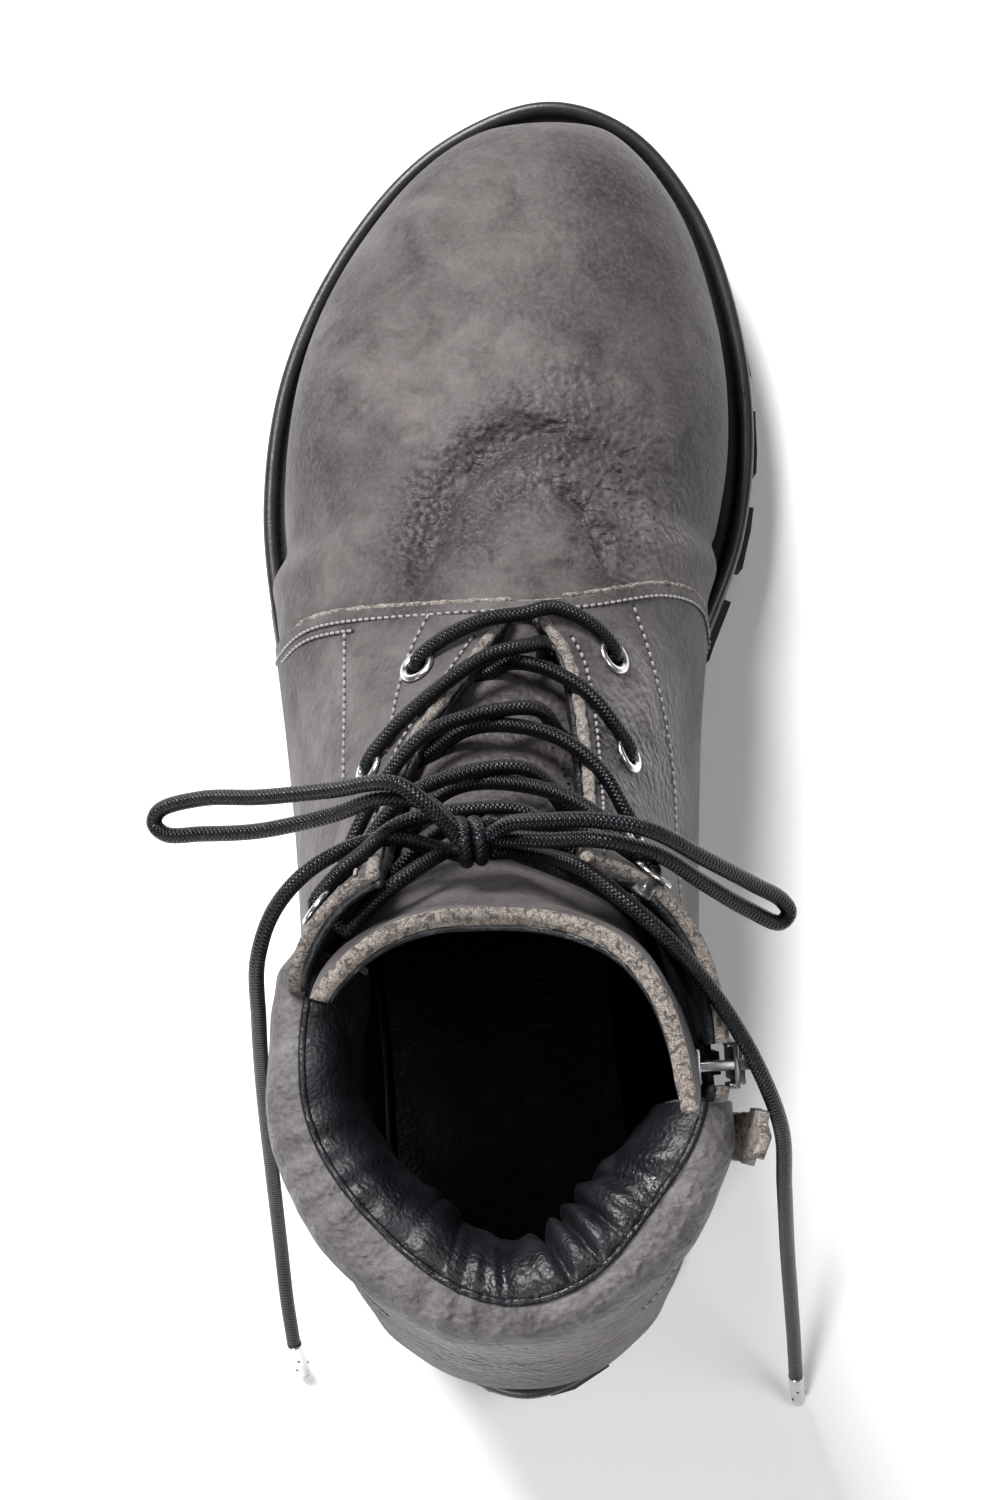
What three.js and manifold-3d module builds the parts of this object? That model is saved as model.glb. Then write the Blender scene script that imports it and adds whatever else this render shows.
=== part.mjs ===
// Lace-up ankle boot for the left foot, with a padded collar and an inner side zip.
// Millimetres, +Z up, toe towards +Y, inner (medial) side towards +X.
// The origin lies on the floor, under the middle of the heel.
import * as THREE from "three";
import { mergeVertices } from "three/addons/utils/BufferGeometryUtils.js";
import Module from "manifold-3d";

const wasm = await Module();
wasm.setup();

// Sole sizes
const soleLength = 300;
const soleWidth = 114;
const heelLength = 80;
const heelLift = 36; // sole top above the floor at the heel seat
const ballLift = 21; // sole top above the floor under the ball
const toeSpring = 8;
const midsoleThickness = 8;
const waistThickness = 9; // outsole under the arch
const rimWidth = 3.4;
const rimRise = 2.6;
const lugDepth = 5;
const lugWidth = 15;
const lugPitch = 23;
const lugReach = 17; // from the sole's edge inwards
const lugProud = 1.2; // how far an edge lug stands out past the rim

// Upper sizes
const shaftHeight = 172; // last section of the form, above the floor
const instepHeight = 100;
const collarHeight = 150;
const welt = 6.2; // how far the sole stands out past the upper
const wall = 2.8;
const overlay = 1.2; // step of the quarters over the vamp
const clearance = 0.3;

// Small parts
const eyeletCount = 5;
const firstOuter = 14; // first eyelet, from the throat's end along the facing
const firstInner = 10;
const lastOuter = 11; // last eyelet, from the facing's top
const lastInner = 7;
const eyeletInset = 13; // from the facing's front edge
const eyeletBore = 2.3;
const eyeletFlange = 4.1;
const eyeletBarrel = 2.9;
const eyeletThickness = 0.7;
const laceDiameter = 3.2;
const tongueThickness = 3.4;
const tongueHeight = 178;
const insoleThickness = 4;
const padThickness = 15;
const padHeight = 30;
const zipWidth = 12;
const zipLength = 92;
const zipTape = 1.2;
const chainWidth = 5;
const chainHeight = 2;

const sectionPoints = 30;
const outlinePoints = 72;

const lerp = THREE.MathUtils.lerp;
const clamp = THREE.MathUtils.clamp;
const smooth = THREE.MathUtils.smoothstep;
const radians = THREE.MathUtils.degToRad;
const heelMiddle = 37; // from the heel's back edge to the origin

// Solids from vertices and triangles

function toSolid(geometry) {
  const bare = geometry.clone();
  for (const name of ["normal", "uv"]) bare.deleteAttribute(name);
  const merged = mergeVertices(bare, 1e-4);
  const mesh = new wasm.Mesh({
    numProp: 3,
    vertProperties: new Float32Array(merged.attributes.position.array),
    triVerts: new Uint32Array(merged.index.array),
  });
  return new wasm.Manifold(mesh);
}

function solidOf(points, triangles) {
  const geometry = new THREE.BufferGeometry();
  geometry.setAttribute("position", new THREE.Float32BufferAttribute(points.flatMap((p) => [p.x, p.y, p.z]), 3));
  geometry.setIndex(triangles.flat());
  const made = toSolid(geometry);
  if (made.volume() > 0) return made;
  geometry.setIndex(triangles.flatMap(([a, b, c]) => [a, c, b]));
  return toSolid(geometry);
}

function toGeometry(solid) {
  const mesh = solid.getMesh();
  const geometry = new THREE.BufferGeometry();
  geometry.setAttribute("position", new THREE.BufferAttribute(mesh.vertProperties, 3));
  geometry.setIndex(new THREE.BufferAttribute(mesh.triVerts, 1));
  return geometry;
}

// A closed slab between two grids of rows x columns: place(u, v, side) gives a corner, side is 1 outside and 0 inside.
function slab(rows, columns, place) {
  const points = [];
  const triangles = [];
  const at = (side, i, j) => (side * (rows + 1) + i) * (columns + 1) + j;
  for (const side of [0, 1])
    for (let i = 0; i <= rows; i++)
      for (let j = 0; j <= columns; j++) points.push(place(i / rows, j / columns, side));
  const quad = (a, b, c, d) => triangles.push([a, b, c], [a, c, d]);
  for (let i = 0; i < rows; i++)
    for (let j = 0; j < columns; j++) {
      quad(at(0, i, j), at(0, i + 1, j), at(0, i + 1, j + 1), at(0, i, j + 1));
      quad(at(1, i, j), at(1, i, j + 1), at(1, i + 1, j + 1), at(1, i + 1, j));
    }
  for (let i = 0; i < rows; i++) {
    quad(at(0, i, 0), at(1, i, 0), at(1, i + 1, 0), at(0, i + 1, 0));
    quad(at(0, i + 1, columns), at(1, i + 1, columns), at(1, i, columns), at(0, i, columns));
  }
  for (let j = 0; j < columns; j++) {
    quad(at(0, 0, j + 1), at(1, 0, j + 1), at(1, 0, j), at(0, 0, j));
    quad(at(0, rows, j), at(1, rows, j), at(1, rows, j + 1), at(0, rows, j + 1));
  }
  return solidOf(points, triangles);
}

// A closed loft through loops of equal point count, capped by a fan at each end.
function loft(loops) {
  const count = loops[0].length;
  const points = loops.flat();
  const triangles = [];
  for (let i = 0; i + 1 < loops.length; i++)
    for (let j = 0; j < count; j++) {
      const a = i * count + j;
      const b = i * count + ((j + 1) % count);
      triangles.push([a, b, b + count], [a, b + count, a + count]);
    }
  const middle = (loop) => loop.reduce((sum, p) => sum.add(p), new THREE.Vector3()).divideScalar(count);
  const first = points.push(middle(loops[0])) - 1;
  const last = points.push(middle(loops.at(-1))) - 1;
  const top = (loops.length - 1) * count;
  for (let j = 0; j < count; j++) {
    const k = (j + 1) % count;
    triangles.push([first, k, j], [last, top + j, top + k]);
  }
  return solidOf(points, triangles);
}

function extruded(corners, depth) {
  const shape = new THREE.Shape(corners.map(([x, y]) => new THREE.Vector2(x, y)));
  return new THREE.ExtrudeGeometry(shape, { depth, bevelEnabled: false });
}

// A prism across the boot, from a side view outline of [y, z] corners.
function sidePrism(corners, fromX, toX) {
  const geometry = extruded(corners, toX - fromX);
  const basis = new THREE.Matrix4().makeBasis(
    new THREE.Vector3(0, 1, 0), new THREE.Vector3(0, 0, 1), new THREE.Vector3(1, 0, 0));
  geometry.applyMatrix4(basis).translate(fromX, 0, 0);
  return toSolid(geometry);
}

// Smooth curve through the rows of a table: column value at a fractional row number.
function tableValue(table, column, at) {
  const last = table.length - 1;
  const row = clamp(Math.floor(at), 0, last - 1);
  const t = clamp(at - row, 0, 1);
  const value = (i) => table[clamp(i, 0, last)][column];
  const [a, b, c, d] = [value(row - 1), value(row), value(row + 1), value(row + 2)];
  return b + 0.5 * t * (c - a + t * (2 * a - 5 * b + 4 * c - d + t * (3 * (b - c) + d - a)));
}

// Sole outline, seen from above: along as a share of the sole's length, side as a share of half its width.
const soleTable = [
  { along: 0, side: 0 }, { along: 0.035, side: -0.37 }, { along: 0.12, side: -0.645 },
  { along: 0.27, side: -0.71 }, { along: 0.42, side: -0.81 }, { along: 0.56, side: -0.94 },
  { along: 0.69, side: -1.0 }, { along: 0.8, side: -0.9 }, { along: 0.9, side: -0.62 },
  { along: 0.968, side: -0.26 }, { along: 1, side: 0.2 }, { along: 0.978, side: 0.55 },
  { along: 0.915, side: 0.82 }, { along: 0.83, side: 0.97 }, { along: 0.74, side: 1.02 },
  { along: 0.65, side: 0.96 }, { along: 0.55, side: 0.76 }, { along: 0.42, side: 0.58 },
  { along: 0.27, side: 0.58 }, { along: 0.12, side: 0.63 }, { along: 0.035, side: 0.37 },
];
const soleCurve = new THREE.CatmullRomCurve3(
  soleTable.map(({ along, side }) =>
    new THREE.Vector3((side * soleWidth) / 2, along * soleLength - heelMiddle, 0)), true, "centripetal");

// The outline moved inwards by an inset, as points from the heel's back round the outer side.
function soleLoop(inset) {
  return Array.from({ length: outlinePoints }, (_, i) => {
    const point = soleCurve.getPointAt(i / outlinePoints);
    const along = soleCurve.getTangentAt(i / outlinePoints);
    return point.add(new THREE.Vector3(along.y, -along.x, 0).normalize().multiplyScalar(inset));
  });
}

// Height of the sole's top at a place along the boot.
function seat(y) {
  const heel = lerp(heelLift, ballLift, smooth(y, 0.1 * soleLength, 0.46 * soleLength));
  const toe = clamp((y + heelMiddle - 0.7 * soleLength) / (0.3 * soleLength), 0, 1);
  return heel + toeSpring * toe * toe;
}

// Height of the sole's underside: flat at the ball, raised under the arch and at the toe.
function underside(y) {
  const tread = seat(y) - ballLift;
  const arch = seat(y) - midsoleThickness - waistThickness;
  return Math.max(0, lerp(arch, tread, smooth(y, 0.34 * soleLength, 0.42 * soleLength)));
}

// A plate with the sole's outline: rings of {inset, height(y)}, first ring below, last ring on top.
function plate(rings) {
  const points = [];
  const triangles = [];
  for (const { inset, height } of rings)
    for (const p of soleLoop(inset)) points.push(p.setZ(height(p.y)));
  const count = outlinePoints;
  for (let r = 0; r + 1 < rings.length; r++)
    for (let i = 0; i < count; i++) {
      const a = r * count + i;
      const b = r * count + ((i + 1) % count);
      triangles.push([a, a + count, b], [b, a + count, b + count]);
    }
  const top = (rings.length - 1) * count;
  for (let i = 0; i < count / 2; i++) {
    const [a, b] = [i, i + 1];
    const [c, d] = [(count - i) % count, count - i - 1];
    if (a !== c) triangles.push([a, b, c], [top + a, top + c, top + b]);
    if (b !== d) triangles.push([b, d, c], [top + b, top + c, top + d]);
  }
  return solidOf(points, triangles);
}

// Form of the upper: sections from the toe to the top of the shaft. Each lies in a plane across the boot,
// from a back or bottom point to a front or top point. backY, frontY: shares of the sole's length, from the
// heel's back edge. backZ and frontZ of the foot: shares of the instep's height, and of the shaft's height
// from row "shaft" on. ridge: sideways place of the front point. outer, inner: half widths, shares of half
// the sole's width, and 0 where the sole's own outline gives them. level: height share of the widest place.
// low and high: roundness below and above it.
const formTable = [
  { backY: 0.979, frontY: 0.979, backZ: 0.36, frontZ: 0.385, ridge: 0.2, outer: 0, inner: 0, level: 0.5, low: 2, high: 2 },
  { backY: 0.977, frontY: 0.977, backZ: 0.29, frontZ: 0.455, ridge: 0.2, outer: 0, inner: 0, level: 0.5, low: 2, high: 2 },
  { backY: 0.97, frontY: 0.97, backZ: 0.22, frontZ: 0.515, ridge: 0.19, outer: 0, inner: 0, level: 0.48, low: 2.2, high: 2 },
  { backY: 0.957, frontY: 0.957, backZ: 0.18, frontZ: 0.565, ridge: 0.18, outer: 0, inner: 0, level: 0.45, low: 2.4, high: 2 },
  { backY: 0.937, frontY: 0.937, backZ: 0.15, frontZ: 0.61, ridge: 0.17, outer: 0, inner: 0, level: 0.43, low: 2.6, high: 2.05 },
  { backY: 0.91, frontY: 0.91, backZ: 0.12, frontZ: 0.655, ridge: 0.15, outer: 0, inner: 0, level: 0.41, low: 2.8, high: 2.1 },
  { backY: 0.87, frontY: 0.87, backZ: 0.1, frontZ: 0.695, ridge: 0.13, outer: 0, inner: 0, level: 0.39, low: 3, high: 2.15 },
  { backY: 0.82, frontY: 0.82, backZ: 0.09, frontZ: 0.725, ridge: 0.11, outer: 0, inner: 0, level: 0.37, low: 3, high: 2.15 },
  { backY: 0.76, frontY: 0.76, backZ: 0.09, frontZ: 0.755, ridge: 0.1, outer: 0, inner: 0, level: 0.35, low: 3, high: 2.1 },
  { backY: 0.7, frontY: 0.7, backZ: 0.09, frontZ: 0.79, ridge: 0.1, outer: 0, inner: 0, level: 0.33, low: 3, high: 2 },
  { backY: 0.645, frontY: 0.645, backZ: 0.09, frontZ: 0.84, ridge: 0.11, outer: 0.96, inner: 0.9, level: 0.31, low: 3, high: 1.9 },
  { backY: 0.585, frontY: 0.595, backZ: 0.09, frontZ: 0.905, ridge: 0.11, outer: 0.93, inner: 0.81, level: 0.31, low: 3, high: 1.85 },
  { backY: 0.48, frontY: 0.55, backZ: 0.1, frontZ: 0.98, ridge: 0.1, outer: 0.88, inner: 0.75, level: 0.3, low: 3, high: 1.95 },
  { backY: 0.34, frontY: 0.51, backZ: 0.14, frontZ: 1.06, ridge: 0.08, outer: 0.83, inner: 0.71, level: 0.31, low: 3, high: 2.05 },
  { backY: 0.2, frontY: 0.473, backZ: 0.19, frontZ: 1.14, ridge: 0.06, outer: 0.79, inner: 0.69, level: 0.34, low: 2.9, high: 2.15 },
  { backY: 0.09, frontY: 0.445, backZ: 0.23, frontZ: 1.215, ridge: 0.04, outer: 0.76, inner: 0.68, level: 0.38, low: 2.7, high: 2.2 },
  { backY: 0.025, frontY: 0.42, backZ: 0.33, frontZ: 1.29, ridge: 0.02, outer: 0.74, inner: 0.68, level: 0.42, low: 2.4, high: 2.2 },
  { backY: 0.006, frontY: 0.4, backZ: 0.53, frontZ: 1.365, ridge: 0.01, outer: 0.73, inner: 0.69, level: 0.46, low: 2.2, high: 2.2 },
  { backY: 0.018, frontY: 0.385, backZ: 0.77, frontZ: 1.44, ridge: 0, outer: 0.73, inner: 0.7, level: 0.48, low: 2.1, high: 2.2 },
  { backY: 0.038, frontY: 0.372, backZ: 1.02, frontZ: 1.51, ridge: 0, outer: 0.73, inner: 0.71, level: 0.5, low: 1.95, high: 2.3 },
  { backY: 0.052, frontY: 0.362, backZ: 1.28, frontZ: 1.58, ridge: 0, outer: 0.73, inner: 0.735, level: 0.5, low: 1.9, high: 2.4 },
  { backY: 0.057, frontY: 0.353, backZ: 1.5, frontZ: 1.64, ridge: 0, outer: 0.73, inner: 0.755, level: 0.5, low: 1.9, high: 2.5 },
  { backY: 0.056, frontY: 0.347, backZ: 1.68, frontZ: 1.68, ridge: 0, outer: 0.73, inner: 0.76, level: 0.5, low: 1.9, high: 2.5 },
];
const footRows = 11; // up to this row the sole's outline gives the widths
const throatRow = 12.02; // the throat's end
const lastRow = formTable.length - 0.99;

// Half widths of the foot, taken from the sole's outline less the welt.
const upperLoop = soleLoop(welt);
function outlineSide(y, inner) {
  let best = 0;
  for (let i = 0; i < outlinePoints; i++) {
    const a = upperLoop[i];
    const b = upperLoop[(i + 1) % outlinePoints];
    if ((a.y - y) * (b.y - y) > 0 || a.y === b.y) continue;
    const x = lerp(a.x, b.x, (y - a.y) / (b.y - a.y));
    best = inner ? Math.max(best, x) : Math.min(best, x);
  }
  return best;
}

// Sizes of the section at a fractional row number.
const sectionMemo = new Map();
function section(row) {
  const key = Math.round(row * 1e5);
  if (sectionMemo.has(key)) return sectionMemo.get(key);
  const value = (column) => tableValue(formTable, column, row);
  const rise = (share) => (share <= 1 ? share * instepHeight
    : instepHeight + ((share - 1) / 0.68) * (shaftHeight - instepHeight));
  const half = soleWidth / 2;
  const ridge = value("ridge") * half;
  const backY = value("backY") * soleLength - heelMiddle;
  const tip = formTable[0].backY * soleLength - heelMiddle;
  const place = Math.min(backY, tip);
  const blend = smooth(row, footRows - 1, footRows);
  const outer = lerp(ridge - outlineSide(place, false), value("outer") * half + ridge, blend);
  const inner = lerp(outlineSide(place, true) - ridge, value("inner") * half - ridge, blend);
  const made = {
    ridge, backY, outer, inner, backZ: rise(value("backZ")), frontZ: rise(value("frontZ")),
    frontY: value("frontY") * soleLength - heelMiddle,
    level: value("level"), low: value("low"), high: value("high"),
  };
  sectionMemo.set(key, made);
  return made;
}

// Near the sole the form is drawn in to the sole's outline less the welt.
function tuckIn(point) {
  const keep = smooth(point.z - seat(point.y), 4, 22);
  if (keep >= 1) return point;
  const middle = Math.max(point.y, 0);
  const reach = Math.hypot(point.x, point.y - middle);
  if (reach < 1) return point;
  let limit = Math.abs(outlineSide(point.y, point.x > 0));
  if (point.y < 0) {
    const turn = Math.atan2(point.x, -point.y);
    limit = upperLoop.reduce((best, p) => {
      const miss = Math.abs(Math.atan2(p.x, -p.y) - turn);
      return miss < best.miss ? { miss, reach: Math.hypot(p.x, p.y) } : best;
    }, { miss: 9, reach: 0 }).reach;
  }
  if (reach <= limit) return point;
  const share = lerp(0.985 * limit, reach, keep) / reach;
  return new THREE.Vector3(point.x * share, middle + (point.y - middle) * share, point.z);
}

// Point of the form: angle 0 at the front or top, 90 degrees at the inner side, 180 at the back or bottom.
function bare(row, angle) {
  const s = section(row);
  const across = Math.sin(angle);
  const along = Math.cos(angle);
  const power = 2 / (along > 0 ? s.high : s.low);
  const reach = Math.abs(along) ** power;
  const share = s.level + reach * (along > 0 ? 1 - s.level : -s.level);
  const width = Math.sign(across) * Math.abs(across) ** power * (across > 0 ? s.inner : s.outer);
  return tuckIn(new THREE.Vector3(s.ridge + width, lerp(s.backY, s.frontY, share), lerp(s.backZ, s.frontZ, share)));
}

// The same point, moved outwards along the surface's normal.
function formPoint(row, angle, offset = 0) {
  const step = 0.02;
  const [low, high] = [clamp(row - step, 0, lastRow), clamp(row + step, 0, lastRow)];
  const alongRow = bare(high, angle).sub(bare(low, angle));
  const alongAngle = bare(row, angle + step).sub(bare(row, angle - step));
  return bare(row, angle).add(alongRow.cross(alongAngle).normalize().multiplyScalar(offset));
}

// The whole form, moved outwards by an offset, as a closed solid.
function form(offset) {
  const rows = [0.02, 0.7, 1.5, 2.4, 3.4, 4.5, 5.7, 7, 8.3, 9.6, 10.8, 11.6].slice(offset < 0 ? 2 : 0);
  for (let row = 12.4; row <= lastRow; row += 0.96) rows.push(row);
  const loops = rows.map((row) => Array.from({ length: sectionPoints }, (_, j) =>
    formPoint(row, ((j + 0.5) * 2 * Math.PI) / sectionPoints, offset)));
  // The inner form runs on past the top, so that the shell is open there.
  if (offset < 0) loops.push(loops.at(-1).map((p) => p.clone().setZ(p.z + 5)));
  return loft(loops);
}

// Angle at a distance along the surface from another angle, inner side positive.
function angleFrom(row, start, distance) {
  const step = Math.sign(distance) * radians(1);
  let angle = start;
  let left = Math.abs(distance);
  let from = bare(row, angle);
  while (left > 0) {
    const to = bare(row, angle + step);
    const length = to.distanceTo(from);
    if (length >= left) return angle + (step * left) / length;
    left -= length;
    angle += step;
    from = to;
  }
  return angle;
}

// Value at which a rising function reaches a target.
function solve(target, low, high, value) {
  for (let i = 0; i < 26; i++) {
    const middle = (low + high) / 2;
    if (value(middle) < target) low = middle;
    else high = middle;
  }
  return (low + high) / 2;
}
const rowAtHeight = (angle, z) => solve(z, footRows, lastRow, (row) => bare(row, angle).z);
const shaftPoint = (angle, z, offset) => formPoint(rowAtHeight(angle, z), angle, offset);

// Throat: sideways place of each facing's edge, at a row of the form.
const throatTable = [
  { row: 12, outer: 2.5, inner: 7.5 }, { row: 12.3, outer: 0, inner: 9.8 }, { row: 12.85, outer: -4.4, inner: 14 },
  { row: 13.55, outer: -10.5, inner: 16 }, { row: 14.4, outer: -18.5, inner: 17 }, { row: 16, outer: -23, inner: 17.8 },
  { row: 19, outer: -23, inner: 17.6 }, { row: 22.1, outer: -22, inner: 18 },
];
function facingEdge(row, sign, inset = 0) {
  const at = solve(row, 0, throatTable.length - 1, (i) => tableValue(throatTable, "row", i));
  const side = tableValue(throatTable, sign > 0 ? "inner" : "outer", at);
  const angle = solve(sign * side, radians(-60), radians(60), (a) => sign * bare(row, sign * a).x);
  return angleFrom(row, sign * angle, sign * inset);
}

function throatCut() {
  return slab(22, 6, (u, v, side) => {
    const row = lerp(throatRow, lastRow, u);
    return formPoint(row, lerp(facingEdge(row, -1), facingEdge(row, 1), v), side ? 8 : -9);
  });
}

// Eyelets of one facing: row numbers of places an equal distance apart along it.
function eyeletRows(sign) {
  const place = (row) => bare(row, facingEdge(row, sign, eyeletInset));
  const step = 0.05;
  const steps = [{ row: throatRow, travelled: 0 }];
  for (let row = throatRow; row < lastRow - step; row += step)
    steps.push({ row: row + step, travelled: steps.at(-1).travelled + place(row + step).distanceTo(place(row)) });
  const [first, last] = sign > 0 ? [firstInner, lastInner] : [firstOuter, lastOuter];
  const pitch = (steps.at(-1).travelled - first - last) / (eyeletCount - 1);
  return Array.from({ length: eyeletCount }, (_, k) =>
    steps.find(({ travelled }) => travelled >= first + k * pitch - 1e-6).row);
}
const eyeletSides = [-1, 1].map((sign) => eyeletRows(sign).map((row, k) => {
  const angle = facingEdge(row, sign, eyeletInset);
  const base = formPoint(row, angle, overlay + 0.2);
  const out = formPoint(row, angle, overlay + 1).sub(base).normalize();
  return { name: `eyelet_${sign > 0 ? "inner" : "outer"}_${k + 1}`, row, sign, base, out };
}));
const eyeletPlaces = Array.from({ length: eyeletCount }, (_, k) => eyeletSides.map((side) => side[k])).flat();
const turnTo = (direction) => new THREE.Quaternion().setFromUnitVectors(new THREE.Vector3(0, 0, 1), direction);

function cylinderAlong(base, out, radius, from, to, sides = 12) {
  const geometry = new THREE.CylinderGeometry(radius, radius, to - from, sides);
  geometry.rotateX(Math.PI / 2).translate(0, 0, (from + to) / 2);
  geometry.applyQuaternion(turnTo(out)).translate(base.x, base.y, base.z);
  return toSolid(geometry);
}

// Zip line on the inner side: its place along the boot at each height.
const zipTop = collarHeight + 4;
const zipBottom = zipTop - zipLength;
const zipPlace = (z) => lerp(38, 27, (z - zipBottom) / zipLength);
const zipAngle = (z) => solve(-zipPlace(z), radians(40), radians(140), (a) => -shaftPoint(a, z, 0).y);

// Point beside the zip's line: across is along the surface, towards the toe.
function besideZip(z, across, offset) {
  const angle = zipAngle(z);
  const reach = shaftPoint(angle + 0.05, z, 0).distanceTo(shaftPoint(angle - 0.05, z, 0)) / 0.1;
  return shaftPoint(angle - across / reach, z, offset);
}
const zipStrip = (low, high, width, outside, inside, rows = 10) => slab(rows, 2, (u, v, side) =>
  besideZip(lerp(low, high, u), lerp(-width / 2, width / 2, v), side ? outside : inside));

// Collar pad: a padded roll round the back, from the outer facing to the zip.
const padStart = radians(-58);
const padEnd = () => zipAngle(collarHeight - padHeight / 2) + 0.16;
function padLoop(angle, swell) {
  const middle = collarHeight - padHeight / 2;
  const squeeze = swell > 0 ? swell : 0;
  return Array.from({ length: 12 }, (_, i) => {
    const turn = ((i + 0.5) * 2 * Math.PI) / 12;
    const round = (value) => Math.sign(value) * Math.abs(value) ** 0.8;
    const z = middle + round(Math.sin(turn)) * (padHeight / 2 + squeeze);
    const lean = 0.16 * (z - middle);
    const offset = -wall - 0.6 + lean + round(Math.cos(turn)) * (padThickness / 2 + squeeze);
    return shaftPoint(angle, z, offset);
  });
}
function collarPad(swell = 0) {
  const loops = [];
  const from = padStart + (swell > 0 ? swell / 50 : 0);
  const to = padEnd() - 2 * Math.PI - (swell > 0 ? swell / 50 : 0);
  const steps = 22;
  for (let i = 0; i <= steps; i++) loops.push(padLoop(lerp(from, to, i / steps), swell));
  return loft(loops);
}

// Everything below the sole's top, and a margin over it.
const belowSeat = (margin) => plate([
  { inset: -20, height: () => -60 }, { inset: -20, height: (y) => seat(y) + margin },
]);

// Places that the upper's lines are drawn from, in the side view.
const vampLine = 0.557 * soleLength - heelMiddle;
const throatTop = formTable.at(-1).frontY * soleLength - heelMiddle;
const beyond = soleLength; // well outside the boot

function upper() {
  // Quarters: the step of a second layer behind the vamp line.
  const rear = [[vampLine, beyond], [-beyond, beyond], [-beyond, -beyond], [vampLine, -beyond]];
  const high = [vampLine, 0.98 * instepHeight];
  const quarters = sidePrism([[vampLine + 2, 0.48 * instepHeight], [vampLine + 4, 0.68 * instepHeight], high, ...rear],
    -beyond, 4)
    .add(sidePrism([[vampLine + 1, 0.38 * instepHeight], [vampLine + 8, 0.52 * instepHeight],
      [vampLine + 8, 0.72 * instepHeight], high, ...rear], 4, beyond));
  const shell = form(0).add(form(overlay).intersect(quarters)).subtract(form(-wall));
  // Top line: high at the facings' corners, low under the pad.
  const padBottom = collarHeight - padHeight / 2;
  const mostly = (share) => lerp(collarHeight, shaftHeight, share);
  const front = [[throatTop - 7, mostly(0.77)], [throatTop - 1, mostly(0.95)], [throatTop + 23, mostly(0.95)],
    [throatTop + 23, beyond], [-beyond, beyond]];
  const above = sidePrism([[-beyond, padBottom], [throatTop - 25, padBottom], [throatTop - 23, collarHeight],
    [throatTop - 20, mostly(0.36)], ...front], -beyond, 4)
    .add(sidePrism([[-beyond, padBottom], [throatTop - 47, padBottom], [throatTop - 45, collarHeight + 2],
      [throatTop - 32, mostly(0.36)], ...front], 4, beyond));
  const zipSlot = zipStrip(zipBottom - 1, zipTop + 12, zipWidth - 3, 8, -8, 12);
  let made = shell.subtract(belowSeat(clearance)).subtract(throatCut()).subtract(above).subtract(zipSlot);
  made = made.subtract(collarPad(clearance + 0.2));
  for (const { base, out } of eyeletPlaces)
    made = made.subtract(cylinderAlong(base, out, eyeletBarrel + clearance, -9, 4));
  return largest(made);
}

const largest = (solid) => solid.decompose().sort((a, b) => b.volume() - a.volume())[0];

// Tongue: follows the inside of the throat and wraps round to the zip. lift: how far it stands off inside.
const tongueTable = [
  { row: 11.4, outer: 15, inner: 15, lift: 0 }, { row: 13, outer: 24, inner: 26, lift: 0.6 },
  { row: 16, outer: 36, inner: 36, lift: 2.4 }, { row: 19, outer: 43, inner: 54, lift: 5.5 },
  { row: 22, outer: 51, inner: 79, lift: 8 },
];
function tongue() {
  const last = tongueTable.length - 1;
  return slab(16, 10, (u, v, side) => {
    const at = u * last;
    const value = (column) => tableValue(tongueTable, column, at);
    const row = Math.min(value("row"), lastRow);
    const angle = lerp(angleFrom(row, 0, -value("outer")), angleFrom(row, 0, value("inner")), v);
    const outside = -wall - 3 * clearance - value("lift") * (1 - 0.8 * (2 * v - 1) ** 2);
    const point = formPoint(row, angle, side ? outside : outside - tongueThickness);
    const crown = smooth(u, 0.85, 1) * (tongueHeight - shaftHeight) * (1 - (2 * v - 1) ** 2);
    return point.add(new THREE.Vector3(0, 0, crown));
  });
}

// Lugs: blocks round the edge, and bars down the middle of the forefoot.
function lugBlock(x, y, direction, length, width) {
  const geometry = extruded([[-width / 2, 0], [width / 2, 0], [width / 2, length], [-width / 2, length]], 120);
  geometry.applyQuaternion(new THREE.Quaternion().setFromAxisAngle(new THREE.Vector3(0, 0, 1), direction));
  return toSolid(geometry.translate(x, y, -20));
}
function lugs() {
  const made = [];
  const around = Math.round(soleCurve.getLength() / lugPitch);
  for (let i = 0; i < around; i++) {
    const point = soleCurve.getPointAt((i + 0.5) / around);
    const along = soleCurve.getTangentAt((i + 0.5) / around);
    const inward = Math.atan2(-along.x, along.y) - Math.PI / 2;
    const start = point.clone().add(new THREE.Vector3(along.y, -along.x, 0).multiplyScalar(-2 * lugProud));
    made.push(lugBlock(start.x, start.y, inward, lugReach + 2 * lugProud, lugWidth));
  }
  for (let y = 0.44 * soleLength; y < 0.78 * soleLength; y += lugPitch)
    made.push(lugBlock(0, y - lugWidth / 2, 0, lugWidth, 0.4 * soleWidth));
  made.push(lugBlock(0, -0.02 * soleLength, 0, lugWidth, 0.22 * soleWidth));
  return wasm.Manifold.union(made);
}

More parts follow.
